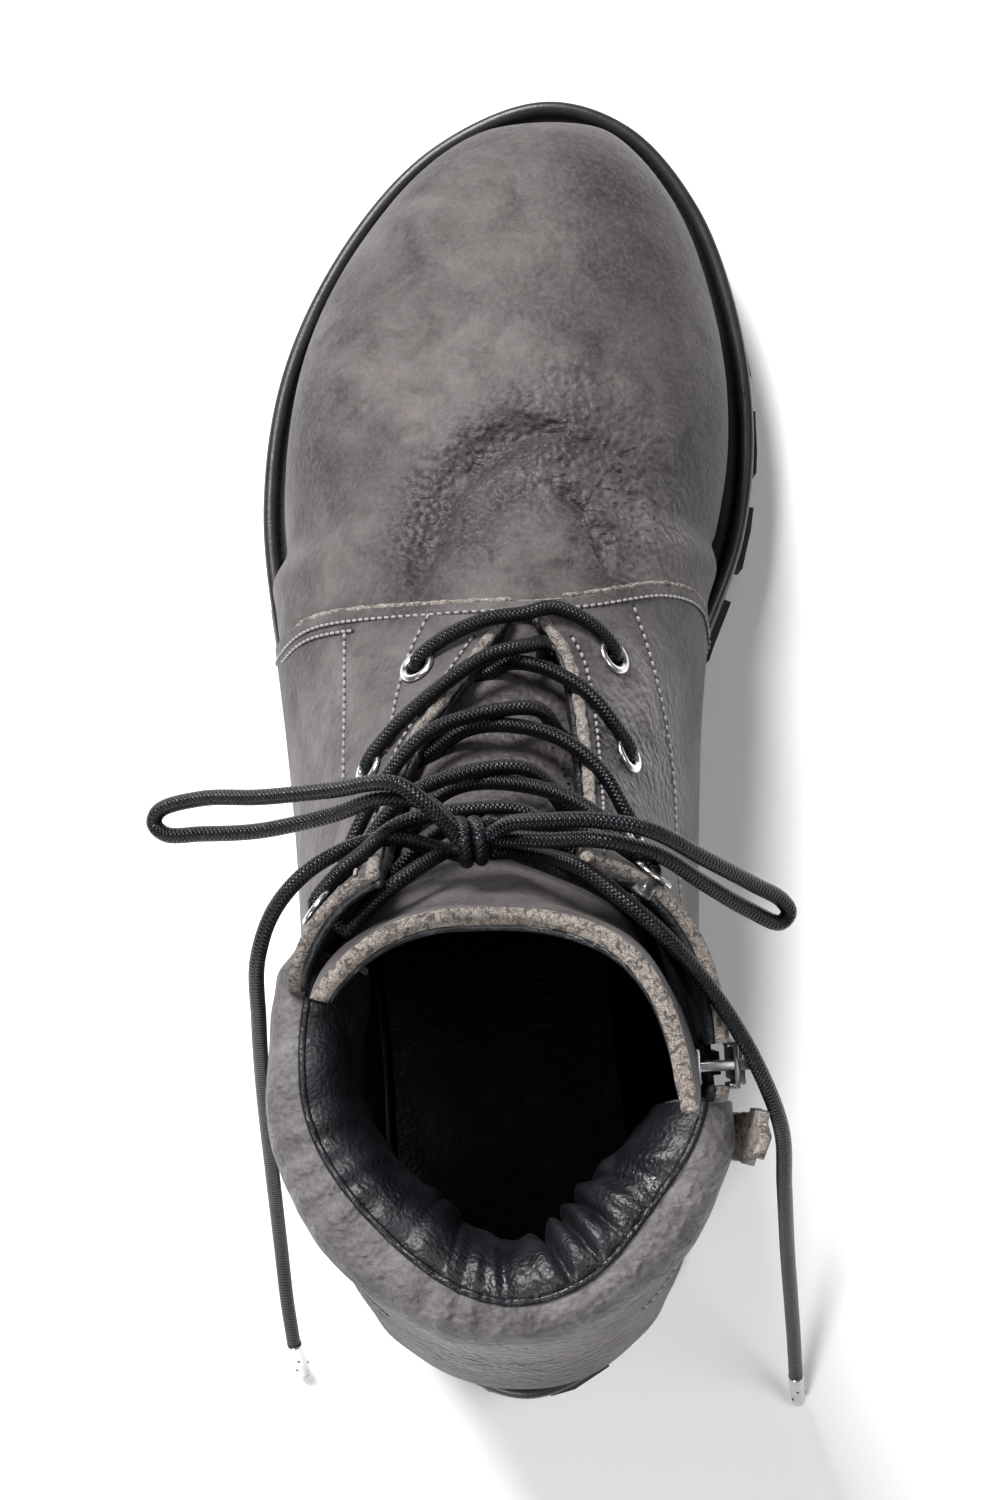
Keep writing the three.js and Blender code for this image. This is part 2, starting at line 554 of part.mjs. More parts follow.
function outsole() {
  const top = (y) => seat(y) - midsoleThickness - clearance;
  const floor = (y) => underside(y) + lugDepth;
  const sheet = plate([{ inset: 0.6, height: floor }, { inset: 0.6, height: top }]);
  const heelBlock = plate([{ inset: 0.6, height: () => lugDepth }, { inset: 0.6, height: (y) => top(y) - 1 }]);
  const heelSpan = sidePrism([[-60, -20], [heelLength - heelMiddle, -20], [heelLength - heelMiddle - 4, 90],
    [-60, 90]], -90, 90);
  const tread = plate([{ inset: 1 - lugProud, height: underside },
    { inset: -lugProud, height: (y) => floor(y) + 3 }]);
  const heelTread = plate([{ inset: 1 - lugProud, height: () => 0 }, { inset: -lugProud, height: () => lugDepth + 3 }]);
  const pattern = lugs();
  return sheet.add(heelBlock.intersect(heelSpan))
    .add(tread.subtract(heelSpan).intersect(pattern))
    .add(heelTread.intersect(heelSpan).intersect(pattern));
}

const midsole = () => {
  const low = (y) => seat(y) - midsoleThickness;
  return plate([
    { inset: 1.2, height: low },
    { inset: 0, height: (y) => low(y) + 1.2 },
    { inset: 0, height: (y) => seat(y) + rimRise - 1.2 },
    { inset: 0.3 * rimWidth, height: (y) => seat(y) + rimRise },
    { inset: 0.8 * rimWidth, height: (y) => seat(y) + rimRise },
    { inset: rimWidth, height: seat },
  ]);
};

const insole = () => plate([
  { inset: welt + wall + 4, height: (y) => seat(y) + clearance },
  { inset: welt + wall + 3, height: (y) => seat(y) + insoleThickness },
]);

function eyelet() {
  const profile = [
    [eyeletBore, -wall - overlay - 0.4], [eyeletBarrel, -wall - overlay - 0.4], [eyeletBarrel, clearance],
    [eyeletFlange, clearance], [eyeletFlange - 0.4, clearance + eyeletThickness],
    [eyeletBore, clearance + eyeletThickness], [eyeletBore, -wall - overlay - 0.4],
  ].map(([r, z]) => new THREE.Vector2(r, z));
  return new THREE.LatheGeometry(profile, 12).rotateX(Math.PI / 2);
}

// A round cord along a list of points.
function cord(points, radius = laceDiameter / 2, sides = 8, step = 2.6) {
  const curve = new THREE.CatmullRomCurve3(points.map(([x, y, z]) => new THREE.Vector3(x, y, z)), false, "centripetal");
  const circle = new THREE.Shape(Array.from({ length: sides }, (_, i) => {
    const turn = (i * 2 * Math.PI) / sides;
    return new THREE.Vector2(radius * Math.cos(turn), radius * Math.sin(turn));
  }));
  const steps = clamp(Math.round(curve.getLength() / (step * 2 * radius)), 6, 80);
  return toSolid(new THREE.ExtrudeGeometry(circle, { steps, extrudePath: curve, bevelEnabled: false }));
}

// Lace crossing between two rows of eyelets: from under one facing, over the other facing's edge.
function crossing(lower, upper, sign, radius = laceDiameter / 2) {
  const start = facingEdge(lower.row, -sign, -1.3);
  const over = facingEdge(upper.row, sign, -1);
  const end = facingEdge(upper.row, sign, eyeletInset - eyeletFlange - 2);
  const middleRow = (lower.row + upper.row) / 2;
  const lift = laceDiameter / 2 + overlay + 0.7;
  const points = [
    formPoint(lower.row + 0.2, start, 0.6),
    formPoint(lerp(lower.row, middleRow, 0.5), start * 0.5, lift + 0.4),
    formPoint(middleRow, 0, lift + 1.6),
    formPoint(lerp(middleRow, upper.row, 0.3), over * 0.5, lift + 1.2),
    formPoint(lerp(middleRow, upper.row, 0.65), over, lift + 0.6),
    formPoint(upper.row - 0.1, end, lift - 0.5),
  ];
  return cord(points.map((p) => p.toArray()), radius);
}
const laceBar = (places) => {
  const [outer, inner] = places;
  const end = (side) => facingEdge(side.row, side.sign, eyeletInset - eyeletFlange - 2);
  const lift = laceDiameter / 2 + overlay + 0.7;
  const row = outer.row - 0.45;
  return cord([
    formPoint(outer.row, end(outer), lift - 0.4), formPoint(row + 0.2, end(outer) * 0.7, lift + 2),
    formPoint(row, 0, lift + 3), formPoint(row + 0.2, end(inner) * 0.7, lift + 2),
    formPoint(inner.row, end(inner), lift - 0.4),
  ].map((p) => p.toArray()));
};

// Free lace: routes chosen by hand. Bow loops rest over the facings, ends drop beside the shaft to the floor.
const knotPlace = [-3.7, 70.8, 161];
const loopOuter = [[-6.5, 71.2, 164.8], [-11.5, 76.6, 168.4], [-18, 81.2, 169], [-31, 81.4, 161.5], [-45, 81.6, 154], [-57.5, 82.7, 147],
  [-66.5, 81.2, 142], [-67.6, 78.9, 140.6], [-65.5, 76.8, 140.5], [-58, 76.2, 143.5], [-46, 75.7, 149],
  [-31.5, 77.2, 157], [-20, 79.2, 164.8], [-12, 77.8, 164.8],
  [-7, 73.2, 161]];
const loopInner = [[0.5, 71.8, 165.4], [4, 73, 168.6], [10, 72.8, 172], [20, 72.2, 175], [30, 70.4, 172.6],
  [40, 66, 163.6], [50, 62, 151], [55.5, 59.6, 144], [56.8, 57.4, 141.6], [55.2, 55.6, 141.4], [48.6, 57.8, 147.4],
  [40.6, 61.6, 157], [31, 66.6, 167.2], [20, 68.8, 172.6], [11, 69.4, 169.6], [4.6, 70.4, 165.2], [-0.2, 71, 161.4]];
const endOuter = [[-7.2, 69, 157.4], [-11.2, 70.4, 155.8], [-19, 72.6, 155.2], [-27, 71.5, 154.5],
  [-36.1, 67.2, 152.5], [-43.2, 60.5, 148], [-47.5, 51.9, 140], [-49.3, 40.9, 123],
  [-51.2, 28.8, 98], [-52.8, 12.8, 66], [-53.8, -2.2, 40], [-54.1, -14.2, 24.5], [-53.9, -23.5, 12.6]];
const endInner = [[-0.2, 69, 157.4], [3.6, 69, 158.4], [10, 67.2, 163.5], [17.5, 63.4, 172.2], [24, 57.8, 174],
  [29.5, 53, 172.5], [34.2, 48.3, 170], [38.8, 43.2, 165.5], [44.4, 35.4, 160], [49.6, 26, 153.4],
  [53.8, 15.8, 140], [54.8, 5.3, 120], [56.2, -6.8, 88], [57.7, -17, 60], [59, -25.8, 35], [60, -33.5, 13]];
const tipOuter = [-52.5, -30.7, 1.2];
const tipInner = [61, -39.9, 1.2];

// The knot is cut clear of every strand that runs into it.
function knot() {
  const radius = laceDiameter / 2 + 0.15;
  const body = toSolid(new THREE.SphereGeometry(1, 14, 9).scale(6.3, 4.6, 6.2).translate(...knotPlace));
  const [lower, higher] = [eyeletSides.map((side) => side.at(-2)), eyeletSides.map((side) => side.at(-1))];
  const strands = [loopOuter, loopInner, endOuter, endInner].map((route) => cord(route, radius));
  strands.push(crossing(lower[0], higher[1], 1, radius), crossing(lower[1], higher[0], -1, radius));
  return largest(body.subtract(wasm.Manifold.union(strands)));
}
const aglet = (from, to) => {
  const out = new THREE.Vector3(...to).sub(new THREE.Vector3(...from)).normalize();
  const length = new THREE.Vector3(...to).distanceTo(new THREE.Vector3(...from));
  return cylinderAlong(new THREE.Vector3(...from), out, laceDiameter / 2 + 0.1, clearance, length, 10);
};

// Zip: tape with its closed chain, the slider at the top and a pull tab that hangs from the slider's crown.
function zip() {
  const bottom = zipBottom;
  const top = collarHeight - 8;
  const tapeOutside = -clearance - 0.2;
  const slotWidth = zipWidth - 3 - 2 * clearance;
  const tape = zipStrip(bottom, top, slotWidth, tapeOutside, tapeOutside - zipTape, 14);
  const chain = zipStrip(bottom + 4, top, chainWidth, tapeOutside + chainHeight, tapeOutside - 0.4, 14);
  return tape.add(chain);
}
const sliderLength = 9;
const sliderWidth = 9;
const sliderPlate = 1;
const sliderZ = collarHeight - 2;
const sliderBase = besideZip(sliderZ, 0, 0);
const sliderOut = besideZip(sliderZ, 0, 1).sub(sliderBase).normalize();
const sliderUp = besideZip(sliderZ + 2, 0, 0).sub(sliderBase).normalize();
const sliderFrame = new THREE.Matrix4().makeBasis(
  new THREE.Vector3().crossVectors(sliderUp, sliderOut).normalize(), sliderUp, sliderOut).setPosition(sliderBase);
const block = (width, height, depth, x, y, z) => new THREE.BoxGeometry(width, height, depth).translate(x, y, z);
const crownReach = 4.2;
const pullThickness = 1.2;
const pullWidth = 8;
const pullLength = 24;
const crownGap = 1.8; // free height under the crown

function slider() {
  const frontZ = chainHeight + 0.4;
  const pieces = [
    block(sliderWidth, sliderLength, sliderPlate, 0, 0, frontZ + sliderPlate / 2),
    block(sliderWidth - 2, sliderLength, sliderPlate, 0, 0, -4.4),
    block(2, sliderLength * 0.4, frontZ + 4.8, 0, sliderLength * 0.3, frontZ / 2 - 2),
    block(2.2, 1.4, crownGap + 1, 0, 3, frontZ + sliderPlate + crownGap / 2),
    block(2.2, 1.4, crownGap + 1, 0, 3 - crownReach, frontZ + sliderPlate + crownGap / 2),
    block(2.2, crownReach + 1.4, 1.1, 0, 3 - crownReach / 2, frontZ + sliderPlate + crownGap + 0.5),
  ].map(toSolid);
  return wasm.Manifold.union(pieces);
}
// The pull's round top bar lies under the crown, and its eye goes round the crown's lower post.
const pullPivot = new THREE.Vector3(0, 0.6, chainHeight + 0.4 + sliderPlate + crownGap / 2);
const pullBar = 0.65; // radius
function pull() {
  const body = block(pullWidth, pullLength, pullThickness, 0, -pullLength / 2, 0);
  const eye = block(3.2, 3.2 + pullBar, 4, 0, -(3.2 + pullBar) / 2, 0);
  const bar = toSolid(new THREE.CylinderGeometry(pullBar, pullBar, pullWidth, 16).rotateZ(Math.PI / 2));
  return toSolid(body).subtract(toSolid(eye)).add(bar).translate(pullPivot.toArray());
}

// Leather guard along the zip's rear edge, over the end of the pad.
function zipGuard() {
  return slab(10, 3, (u, v, side) => {
    const z = lerp(zipBottom + 4, collarHeight + 6, u);
    const across = lerp(-zipWidth / 2 - 5, -zipWidth / 2 - 15, v);
    const stand = overlay + clearance + 5.6 * smooth(z, collarHeight - padHeight - 6, collarHeight - padHeight + 8);
    return besideZip(Math.min(z, collarHeight + 6), across, side ? stand + 2.2 : stand);
  });
}

const finish = (color, roughness, metalness = 0) => new THREE.MeshStandardMaterial({ color, roughness, metalness });
const looks = {
  nubuck: finish(0x5f5955, 0.85), lining: finish(0x15151a, 0.45), rubber: finish(0x1a1a1c, 0.7),
  midsole: finish(0x222224, 0.55), lace: finish(0x16171b, 0.5), metal: finish(0xc9c9c6, 0.3, 1),
  steel: finish(0x77777a, 0.35, 1), insole: finish(0x1c1b1d, 0.8), tape: finish(0x18181b, 0.8),
};
const boot = new THREE.Group();
function add(name, shape, look, parent = boot) {
  const geometry = shape.isBufferGeometry ? shape : toGeometry(shape);
  const mesh = new THREE.Mesh(geometry, looks[look]);
  mesh.name = name;
  parent.add(mesh);
  return mesh;
}

add("outsole", outsole(), "rubber");
add("midsole", midsole(), "midsole");
add("insole", insole(), "insole");
add("upper", upper(), "nubuck");
add("tongue", tongue(), "nubuck");
add("collar_pad", collarPad(), "nubuck");
add("zip_guard", zipGuard(), "nubuck");
for (const { name, base, out } of eyeletPlaces) {
  const mesh = add(name, eyelet(), "metal");
  mesh.position.copy(base);
  mesh.quaternion.copy(turnTo(out));
}
add("lace_bar", laceBar(eyeletPlaces.slice(0, 2)), "lace");
for (let k = 0; k + 1 < eyeletCount; k++) {
  const lower = eyeletPlaces.slice(2 * k, 2 * k + 2);
  const higher = eyeletPlaces.slice(2 * k + 2, 2 * k + 4);
  add(`lace_crossing_${k + 1}`, crossing(lower[0], higher[1], 1).add(crossing(lower[1], higher[0], -1)), "lace");
}
add("lace_knot", knot(), "lace");
add("lace_loop_outer", cord(loopOuter), "lace");
add("lace_loop_inner", cord(loopInner), "lace");
add("lace_end_outer", cord(endOuter), "lace");
add("lace_end_inner", cord(endInner), "lace");
add("aglet_outer", aglet(endOuter.at(-1), tipOuter), "metal");
add("aglet_inner", aglet(endInner.at(-1), tipInner), "metal");
add("zip_tape", zip(), "tape");

const sliderGroup = new THREE.Group();
sliderFrame.decompose(sliderGroup.position, sliderGroup.quaternion, sliderGroup.scale);
boot.add(sliderGroup);
add("zip_slider", slider(), "steel", sliderGroup);
add("zip_pull", pull(), "steel", sliderGroup);

export default boot;
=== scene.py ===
"""A left lace-up ankle boot in grey nubuck, dressed over its CAD solids.

Sizes are in millimetres until a mesh is made. +Y points at the toe, +X at the inner side, +Z up.
"""

import math

import bmesh
import bpy
import numpy as np
from mathutils import Matrix, Vector
from mathutils.bvhtree import BVHTree


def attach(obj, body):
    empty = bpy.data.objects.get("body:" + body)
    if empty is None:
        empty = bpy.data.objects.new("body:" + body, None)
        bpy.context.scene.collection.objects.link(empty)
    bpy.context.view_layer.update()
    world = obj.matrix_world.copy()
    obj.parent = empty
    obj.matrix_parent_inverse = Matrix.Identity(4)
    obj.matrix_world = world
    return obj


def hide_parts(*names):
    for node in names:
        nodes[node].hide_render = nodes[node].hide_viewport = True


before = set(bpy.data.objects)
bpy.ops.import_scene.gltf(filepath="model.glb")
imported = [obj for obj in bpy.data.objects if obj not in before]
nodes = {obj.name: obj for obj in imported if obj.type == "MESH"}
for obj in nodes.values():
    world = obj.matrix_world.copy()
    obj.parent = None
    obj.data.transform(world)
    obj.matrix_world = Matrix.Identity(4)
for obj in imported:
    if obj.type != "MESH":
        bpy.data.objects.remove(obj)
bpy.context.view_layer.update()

MM = 0.001
BODY = "boot"
PULL = "pull"

# Sizes of the sole and the upper, as in the CAD part
SOLE_LENGTH = 300
SOLE_WIDTH = 114
HEEL_MIDDLE = 37
HEEL_LIFT = 36
BALL_LIFT = 21
TOE_SPRING = 8
MIDSOLE = 8
RIM_RISE = 2.6
WELT = 6.2
WALL = 2.8
OVERLAY = 1.2
SHAFT_HEIGHT = 172
INSTEP_HEIGHT = 100
COLLAR_HEIGHT = 150
PAD_HEIGHT = 30
PAD_THICKNESS = 15
EYELETS = 5
EYELET_PITCH = 24.5
FIRST_EYELET = {-1: 14, 1: 10}
EYELET_INSET = 13
LACE = 3.2
TONGUE = 3.4
TONGUE_HEIGHT = 178
ZIP_WIDTH = 12
ZIP_LENGTH = 92
ZIP_TOP = COLLAR_HEIGHT + 4
ZIP_BOTTOM = ZIP_TOP - ZIP_LENGTH
OUTER, INNER = -1, 1

# Sole outline: along as a share of the length, side as a share of half the width.
SOLE_TABLE = [
    (0, 0), (0.035, -0.37), (0.12, -0.645), (0.27, -0.71), (0.42, -0.81), (0.56, -0.94), (0.69, -1.0),
    (0.8, -0.9), (0.9, -0.62), (0.968, -0.26), (1, 0.2), (0.978, 0.55), (0.915, 0.82), (0.83, 0.97),
    (0.74, 1.02), (0.65, 0.96), (0.55, 0.76), (0.42, 0.58), (0.27, 0.58), (0.12, 0.63), (0.035, 0.37),
]

# Form of the upper, a row for each section, with its columns named first
FORM_COLUMNS = ("back_y", "front_y", "back_z", "front_z", "ridge", "outer", "inner", "level", "low", "high")
FORM_TABLE = np.array([
    (0.967, 0.967, 0.36, 0.385, 0.2, 0, 0, 0.5, 2, 2),
    (0.965, 0.965, 0.29, 0.455, 0.2, 0, 0, 0.5, 2, 2),
    (0.959, 0.959, 0.22, 0.515, 0.19, 0, 0, 0.48, 2.2, 2),
    (0.948, 0.948, 0.18, 0.565, 0.18, 0, 0, 0.45, 2.4, 2),
    (0.931, 0.931, 0.15, 0.61, 0.17, 0, 0, 0.43, 2.6, 2.05),
    (0.91, 0.91, 0.12, 0.655, 0.15, 0, 0, 0.41, 2.8, 2.1),
    (0.87, 0.87, 0.1, 0.695, 0.13, 0, 0, 0.39, 3, 2.15),
    (0.82, 0.82, 0.09, 0.725, 0.11, 0, 0, 0.37, 3, 2.15),
    (0.76, 0.76, 0.09, 0.755, 0.1, 0, 0, 0.35, 3, 2.1),
    (0.7, 0.7, 0.09, 0.79, 0.1, 0, 0, 0.33, 3, 2),
    (0.645, 0.645, 0.09, 0.84, 0.11, 0.96, 0.9, 0.31, 3, 1.9),
    (0.585, 0.595, 0.09, 0.905, 0.11, 0.93, 0.81, 0.31, 3, 1.85),
    (0.48, 0.55, 0.1, 0.98, 0.1, 0.88, 0.75, 0.3, 3, 1.95),
    (0.34, 0.51, 0.14, 1.06, 0.08, 0.83, 0.71, 0.31, 3, 2.05),
    (0.2, 0.473, 0.19, 1.14, 0.06, 0.79, 0.69, 0.34, 2.9, 2.15),
    (0.09, 0.445, 0.23, 1.215, 0.04, 0.76, 0.68, 0.38, 2.7, 2.2),
    (0.025, 0.42, 0.33, 1.29, 0.02, 0.74, 0.68, 0.42, 2.4, 2.2),
    (0.006, 0.4, 0.53, 1.365, 0.01, 0.73, 0.69, 0.46, 2.2, 2.2),
    (0.018, 0.385, 0.77, 1.44, 0, 0.73, 0.7, 0.48, 2.1, 2.2),
    (0.038, 0.372, 1.02, 1.51, 0, 0.73, 0.71, 0.5, 1.95, 2.3),
    (0.052, 0.362, 1.28, 1.58, 0, 0.73, 0.735, 0.5, 1.9, 2.4),
    (0.057, 0.353, 1.5, 1.64, 0, 0.73, 0.755, 0.5, 1.9, 2.5),
    (0.056, 0.347, 1.68, 1.68, 0, 0.73, 0.76, 0.5, 1.9, 2.5),
])
FOOT_ROWS = 11
THROAT_ROW = 12.02
LAST_ROW = len(FORM_TABLE) - 1.0

# Throat: row of the form, and the sideways place of the outer and inner facing's edge.
THROAT_TABLE = np.array([
    (12, 2.5, 7.5), (12.3, 0, 9.8), (12.85, -4.4, 14), (13.55, -10.5, 16), (14.4, -18.5, 17), (16, -23, 17.8),
    (19, -23, 17.6), (22.1, -22, 18),
])

# Tongue: row of the form, reach to the outer and inner side along the surface, and lift off the inside.
TONGUE_TABLE = np.array([
    (11.4, 15, 15, 0), (13, 24, 26, 0.6), (16, 36, 36, 2.4), (19, 43, 54, 5.5), (22, 51, 79, 8),
])


def spline(table, column, at):
    """Smooth curve through a table's column, at fractional row numbers."""
    values = table[:, column]
    last = len(values) - 1
    at = np.asarray(at, float)
    row = np.clip(np.floor(at).astype(int), 0, last - 1)
    t = np.clip(at - row, 0, 1)
    a, b, c, d = (values[np.clip(row + k, 0, last)] for k in (-1, 0, 1, 2))
    return b + 0.5 * t * (c - a + t * (2 * a - 5 * b + 4 * c - d + t * (3 * (b - c) + d - a)))


def smooth(value, low, high):
    t = np.clip((np.asarray(value, float) - low) / (high - low), 0, 1)
    return t * t * (3 - 2 * t)


def lerp(a, b, t):
    return a + (b - a) * t


def unit(vectors):
    return vectors / np.maximum(np.linalg.norm(vectors, axis=-1, keepdims=True), 1e-9)


def travel(line):
    """How far along a line each of its points lies."""
    return np.concatenate([[0], np.cumsum(np.linalg.norm(np.diff(line, axis=0), axis=1))])


def full_turn(count):
    """Angles an equal distance apart round a circle."""
    return np.linspace(0, 2 * math.pi, count, endpoint=False)


def scaled(color, share):
    return tuple(share * c for c in color)


def catmull(points, steps, closed=False):
    """Centripetal curve through points, sampled evenly along its length."""
    points = [np.asarray(p, float) for p in points]
    count = len(points)
    if closed:
        ring = [points[(i - 1) % count] for i in range(count + 3)]
    else:
        ring = [2 * points[0] - points[1], *points, 2 * points[-1] - points[-2]]
    made = []
    for i in range(1, len(ring) - 2):
        p0, p1, p2, p3 = ring[i - 1:i + 3]
        t0 = 0
        t1 = t0 + max(np.linalg.norm(p1 - p0), 1e-6) ** 0.5
        t2 = t1 + max(np.linalg.norm(p2 - p1), 1e-6) ** 0.5
        t3 = t2 + max(np.linalg.norm(p3 - p2), 1e-6) ** 0.5
        for t in np.linspace(t1, t2, 16, endpoint=False):
            a1 = (t1 - t) / (t1 - t0) * p0 + (t - t0) / (t1 - t0) * p1
            a2 = (t2 - t) / (t2 - t1) * p1 + (t - t1) / (t2 - t1) * p2
            a3 = (t3 - t) / (t3 - t2) * p2 + (t - t2) / (t3 - t2) * p3
            b1 = (t2 - t) / (t2 - t0) * a1 + (t - t0) / (t2 - t0) * a2
            b2 = (t3 - t) / (t3 - t1) * a2 + (t - t1) / (t3 - t1) * a3
            made.append((t2 - t) / (t2 - t1) * b1 + (t - t1) / (t2 - t1) * b2)
    made.append(points[0] if closed else points[-1])
    return resample(np.array(made), steps)


def resample(line, steps):
    """The line's points moved to steps + 1 places an equal distance apart."""
    travelled = travel(line)
    wanted = np.linspace(0, travelled[-1], steps + 1)
    return np.stack([np.interp(wanted, travelled, line[:, k]) for k in range(line.shape[1])], -1)


def sole_loop(inset, steps=360):
    """The sole's outline moved inwards, from the heel's back round the outer side."""
    half = SOLE_WIDTH / 2
    corners = [(side * half, along * SOLE_LENGTH - HEEL_MIDDLE) for along, side in SOLE_TABLE]
    loop = catmull(corners, steps, True)[:-1]
    tangent = unit(np.roll(loop, -1, 0) - np.roll(loop, 1, 0))
    return loop + inset * np.stack([tangent[:, 1], -tangent[:, 0]], -1)


def seat(y):
    """Height of the sole's top along the boot."""
    heel = lerp(HEEL_LIFT, BALL_LIFT, smooth(y, 0.1 * SOLE_LENGTH, 0.46 * SOLE_LENGTH))
    toe = np.clip((np.asarray(y, float) + HEEL_MIDDLE - 0.7 * SOLE_LENGTH) / (0.3 * SOLE_LENGTH), 0, 1)
    return heel + TOE_SPRING * toe ** 2


upper_loop = sole_loop(WELT)
turn_point = int(np.argmax(upper_loop[:, 1]))
outer_side = upper_loop[:turn_point + 1]
inner_side = upper_loop[turn_point:][::-1]


def outline_side(y, inner):
    """Sideways reach of the upper's feather line at y."""
    outward = np.interp(y, outer_side[:, 1], outer_side[:, 0])
    inward = np.interp(y, inner_side[:, 1], inner_side[:, 0])
    return np.where(inner, inward, outward)


def tuck_in(points):
    """Near the sole the form is drawn in to the sole's outline less the welt."""
    x, y, z = points[..., 0], points[..., 1], points[..., 2]
    keep = smooth(z - seat(y), 4, 22)
    middle = np.maximum(y, 0)
    reach = np.hypot(x, y - middle)
    limit = np.abs(outline_side(y, x > 0))
    turn = np.arctan2(upper_loop[:, 0], -upper_loop[:, 1])
    order = np.argsort(turn)
    round_heel = np.interp(np.arctan2(x, -y), turn[order], np.hypot(*upper_loop.T)[order])
    limit = np.where(y < 0, round_heel, limit)
    drawn_in = lerp(0.985 * limit, reach, keep) / np.maximum(reach, 1e-6)
    share = np.where((keep < 1) & (reach > limit), drawn_in, 1)
    return np.stack([x * share, middle + (y - middle) * share, z], -1)


def bare_form(row, angle):
    """Point of the form: angle 0 is the front or top, a quarter turn the inner side, half a turn the back."""
    row, angle = np.broadcast_arrays(np.asarray(row, float), np.asarray(angle, float))
    value = {name: spline(FORM_TABLE, k, row) for k, name in enumerate(FORM_COLUMNS)}
    half = SOLE_WIDTH / 2

    def rise(share):
        high = INSTEP_HEIGHT + (share - 1) / 0.68 * (SHAFT_HEIGHT - INSTEP_HEIGHT)
        return np.where(share <= 1, share * INSTEP_HEIGHT, high)

    ridge = value["ridge"] * half
    back_y = value["back_y"] * SOLE_LENGTH - HEEL_MIDDLE
    front_y = value["front_y"] * SOLE_LENGTH - HEEL_MIDDLE
    place = np.minimum(back_y, FORM_TABLE[0, 0] * SOLE_LENGTH - HEEL_MIDDLE)
    blend = smooth(row, FOOT_ROWS - 1, FOOT_ROWS)
    outer = lerp(ridge - outline_side(place, False), value["outer"] * half + ridge, blend)
    inner = lerp(outline_side(place, True) - ridge, value["inner"] * half - ridge, blend)
    across, along = np.sin(angle), np.cos(angle)
    power = 2 / np.where(along > 0, value["high"], value["low"])
    reach = np.abs(along) ** power
    share = value["level"] + reach * np.where(along > 0, 1 - value["level"], -value["level"])
    width = np.sign(across) * np.abs(across) ** power * np.where(across > 0, inner, outer)
    back_z, front_z = rise(value["back_z"]), rise(value["front_z"])
    return tuck_in(np.stack([ridge + width, lerp(back_y, front_y, share), lerp(back_z, front_z, share)], -1))


def form_normal(row, angle):
    step = 0.02
    row, angle = np.broadcast_arrays(np.asarray(row, float), np.asarray(angle, float))
    after, before = np.clip(row + step, 0, LAST_ROW), np.clip(row - step, 0, LAST_ROW)
    along_row = bare_form(after, angle) - bare_form(before, angle)
    along_angle = bare_form(row, angle + step) - bare_form(row, angle - step)
    return unit(np.cross(along_row, along_angle))


def form(row, angle, offset=0.0):
    """Point of the form, moved outwards along the surface's normal."""
    return bare_form(row, angle) + np.asarray(offset, float)[..., None] * form_normal(row, angle)


def solve(target, low, high, value):
    """Where a rising function reaches a target, for arrays of targets."""
    low = np.broadcast_to(np.asarray(low, float), np.shape(target)).copy()
    high = np.broadcast_to(np.asarray(high, float), np.shape(target)).copy()
    for _ in range(24):
        middle = (low + high) / 2
        under = value(middle) < target
        low = np.where(under, middle, low)
        high = np.where(under, high, middle)
    return (low + high) / 2


def angle_from(row, start, distance):
    """Angle at a distance along the surface from another angle, inner side positive."""
    row, start, distance = np.broadcast_arrays(*(np.asarray(v, float) for v in (row, start, distance)))
    shape = row.shape
    row, start, distance = row.ravel(), start.ravel(), distance.ravel()
    steps = np.radians(np.arange(0, 181, 1.0))
    angles = start[:, None] + np.sign(distance)[:, None] * steps
    points = bare_form(row[:, None], angles)
    travelled = np.concatenate([np.zeros((len(row), 1)), np.cumsum(
        np.linalg.norm(np.diff(points, axis=1), axis=2), axis=1)], 1)
    found = [np.interp(abs(d), t, a) for d, t, a in zip(distance, travelled, angles)]
    return np.array(found).reshape(shape)


def row_at_height(angle, z):
    angle, z = np.broadcast_arrays(np.asarray(angle, float), np.asarray(z, float))
    return solve(z, FOOT_ROWS, LAST_ROW, lambda row: bare_form(row, angle)[..., 2])


def shaft_point(angle, z, offset=0.0):
    return form(row_at_height(angle, z), angle, offset)


def facing_edge(row, sign, inset=0.0):
    """Angle of a facing's edge, or of a line an inset behind it."""
    row = np.asarray(row, float)
    at = solve(row, 0, len(THROAT_TABLE) - 1, lambda i: spline(THROAT_TABLE, 0, i))
    side = spline(THROAT_TABLE, 1 if sign < 0 else 2, at)
    low = np.radians(-60)
    angle = solve(sign * side, low, -low, lambda a: sign * bare_form(row, sign * a)[..., 0])
    return angle_from(row, sign * angle, sign * np.asarray(inset, float))


def eyelet_rows(sign):
    """Row numbers of one facing's eyelets, an equal distance apart along it."""
    rows = np.arange(THROAT_ROW, LAST_ROW, 0.05)
    line = bare_form(rows, facing_edge(rows, sign, EYELET_INSET))
    travelled = travel(line)
    wanted = FIRST_EYELET[sign] + np.arange(EYELETS) * EYELET_PITCH
    return np.interp(wanted, travelled, rows)


# Camera at the photograph's angle
CAMERA_TARGET = np.array([-2.95256, 109.84702, 25])
CAMERA_SIDE = math.radians(2)
CAMERA_REAR = math.radians(9)
CAMERA_ROLL = math.radians(1.4596)
CAMERA_DISTANCE = 830
CAMERA_FOCAL = 3607.9
PHOTO_WIDTH, PHOTO_HEIGHT = 1000, 1500

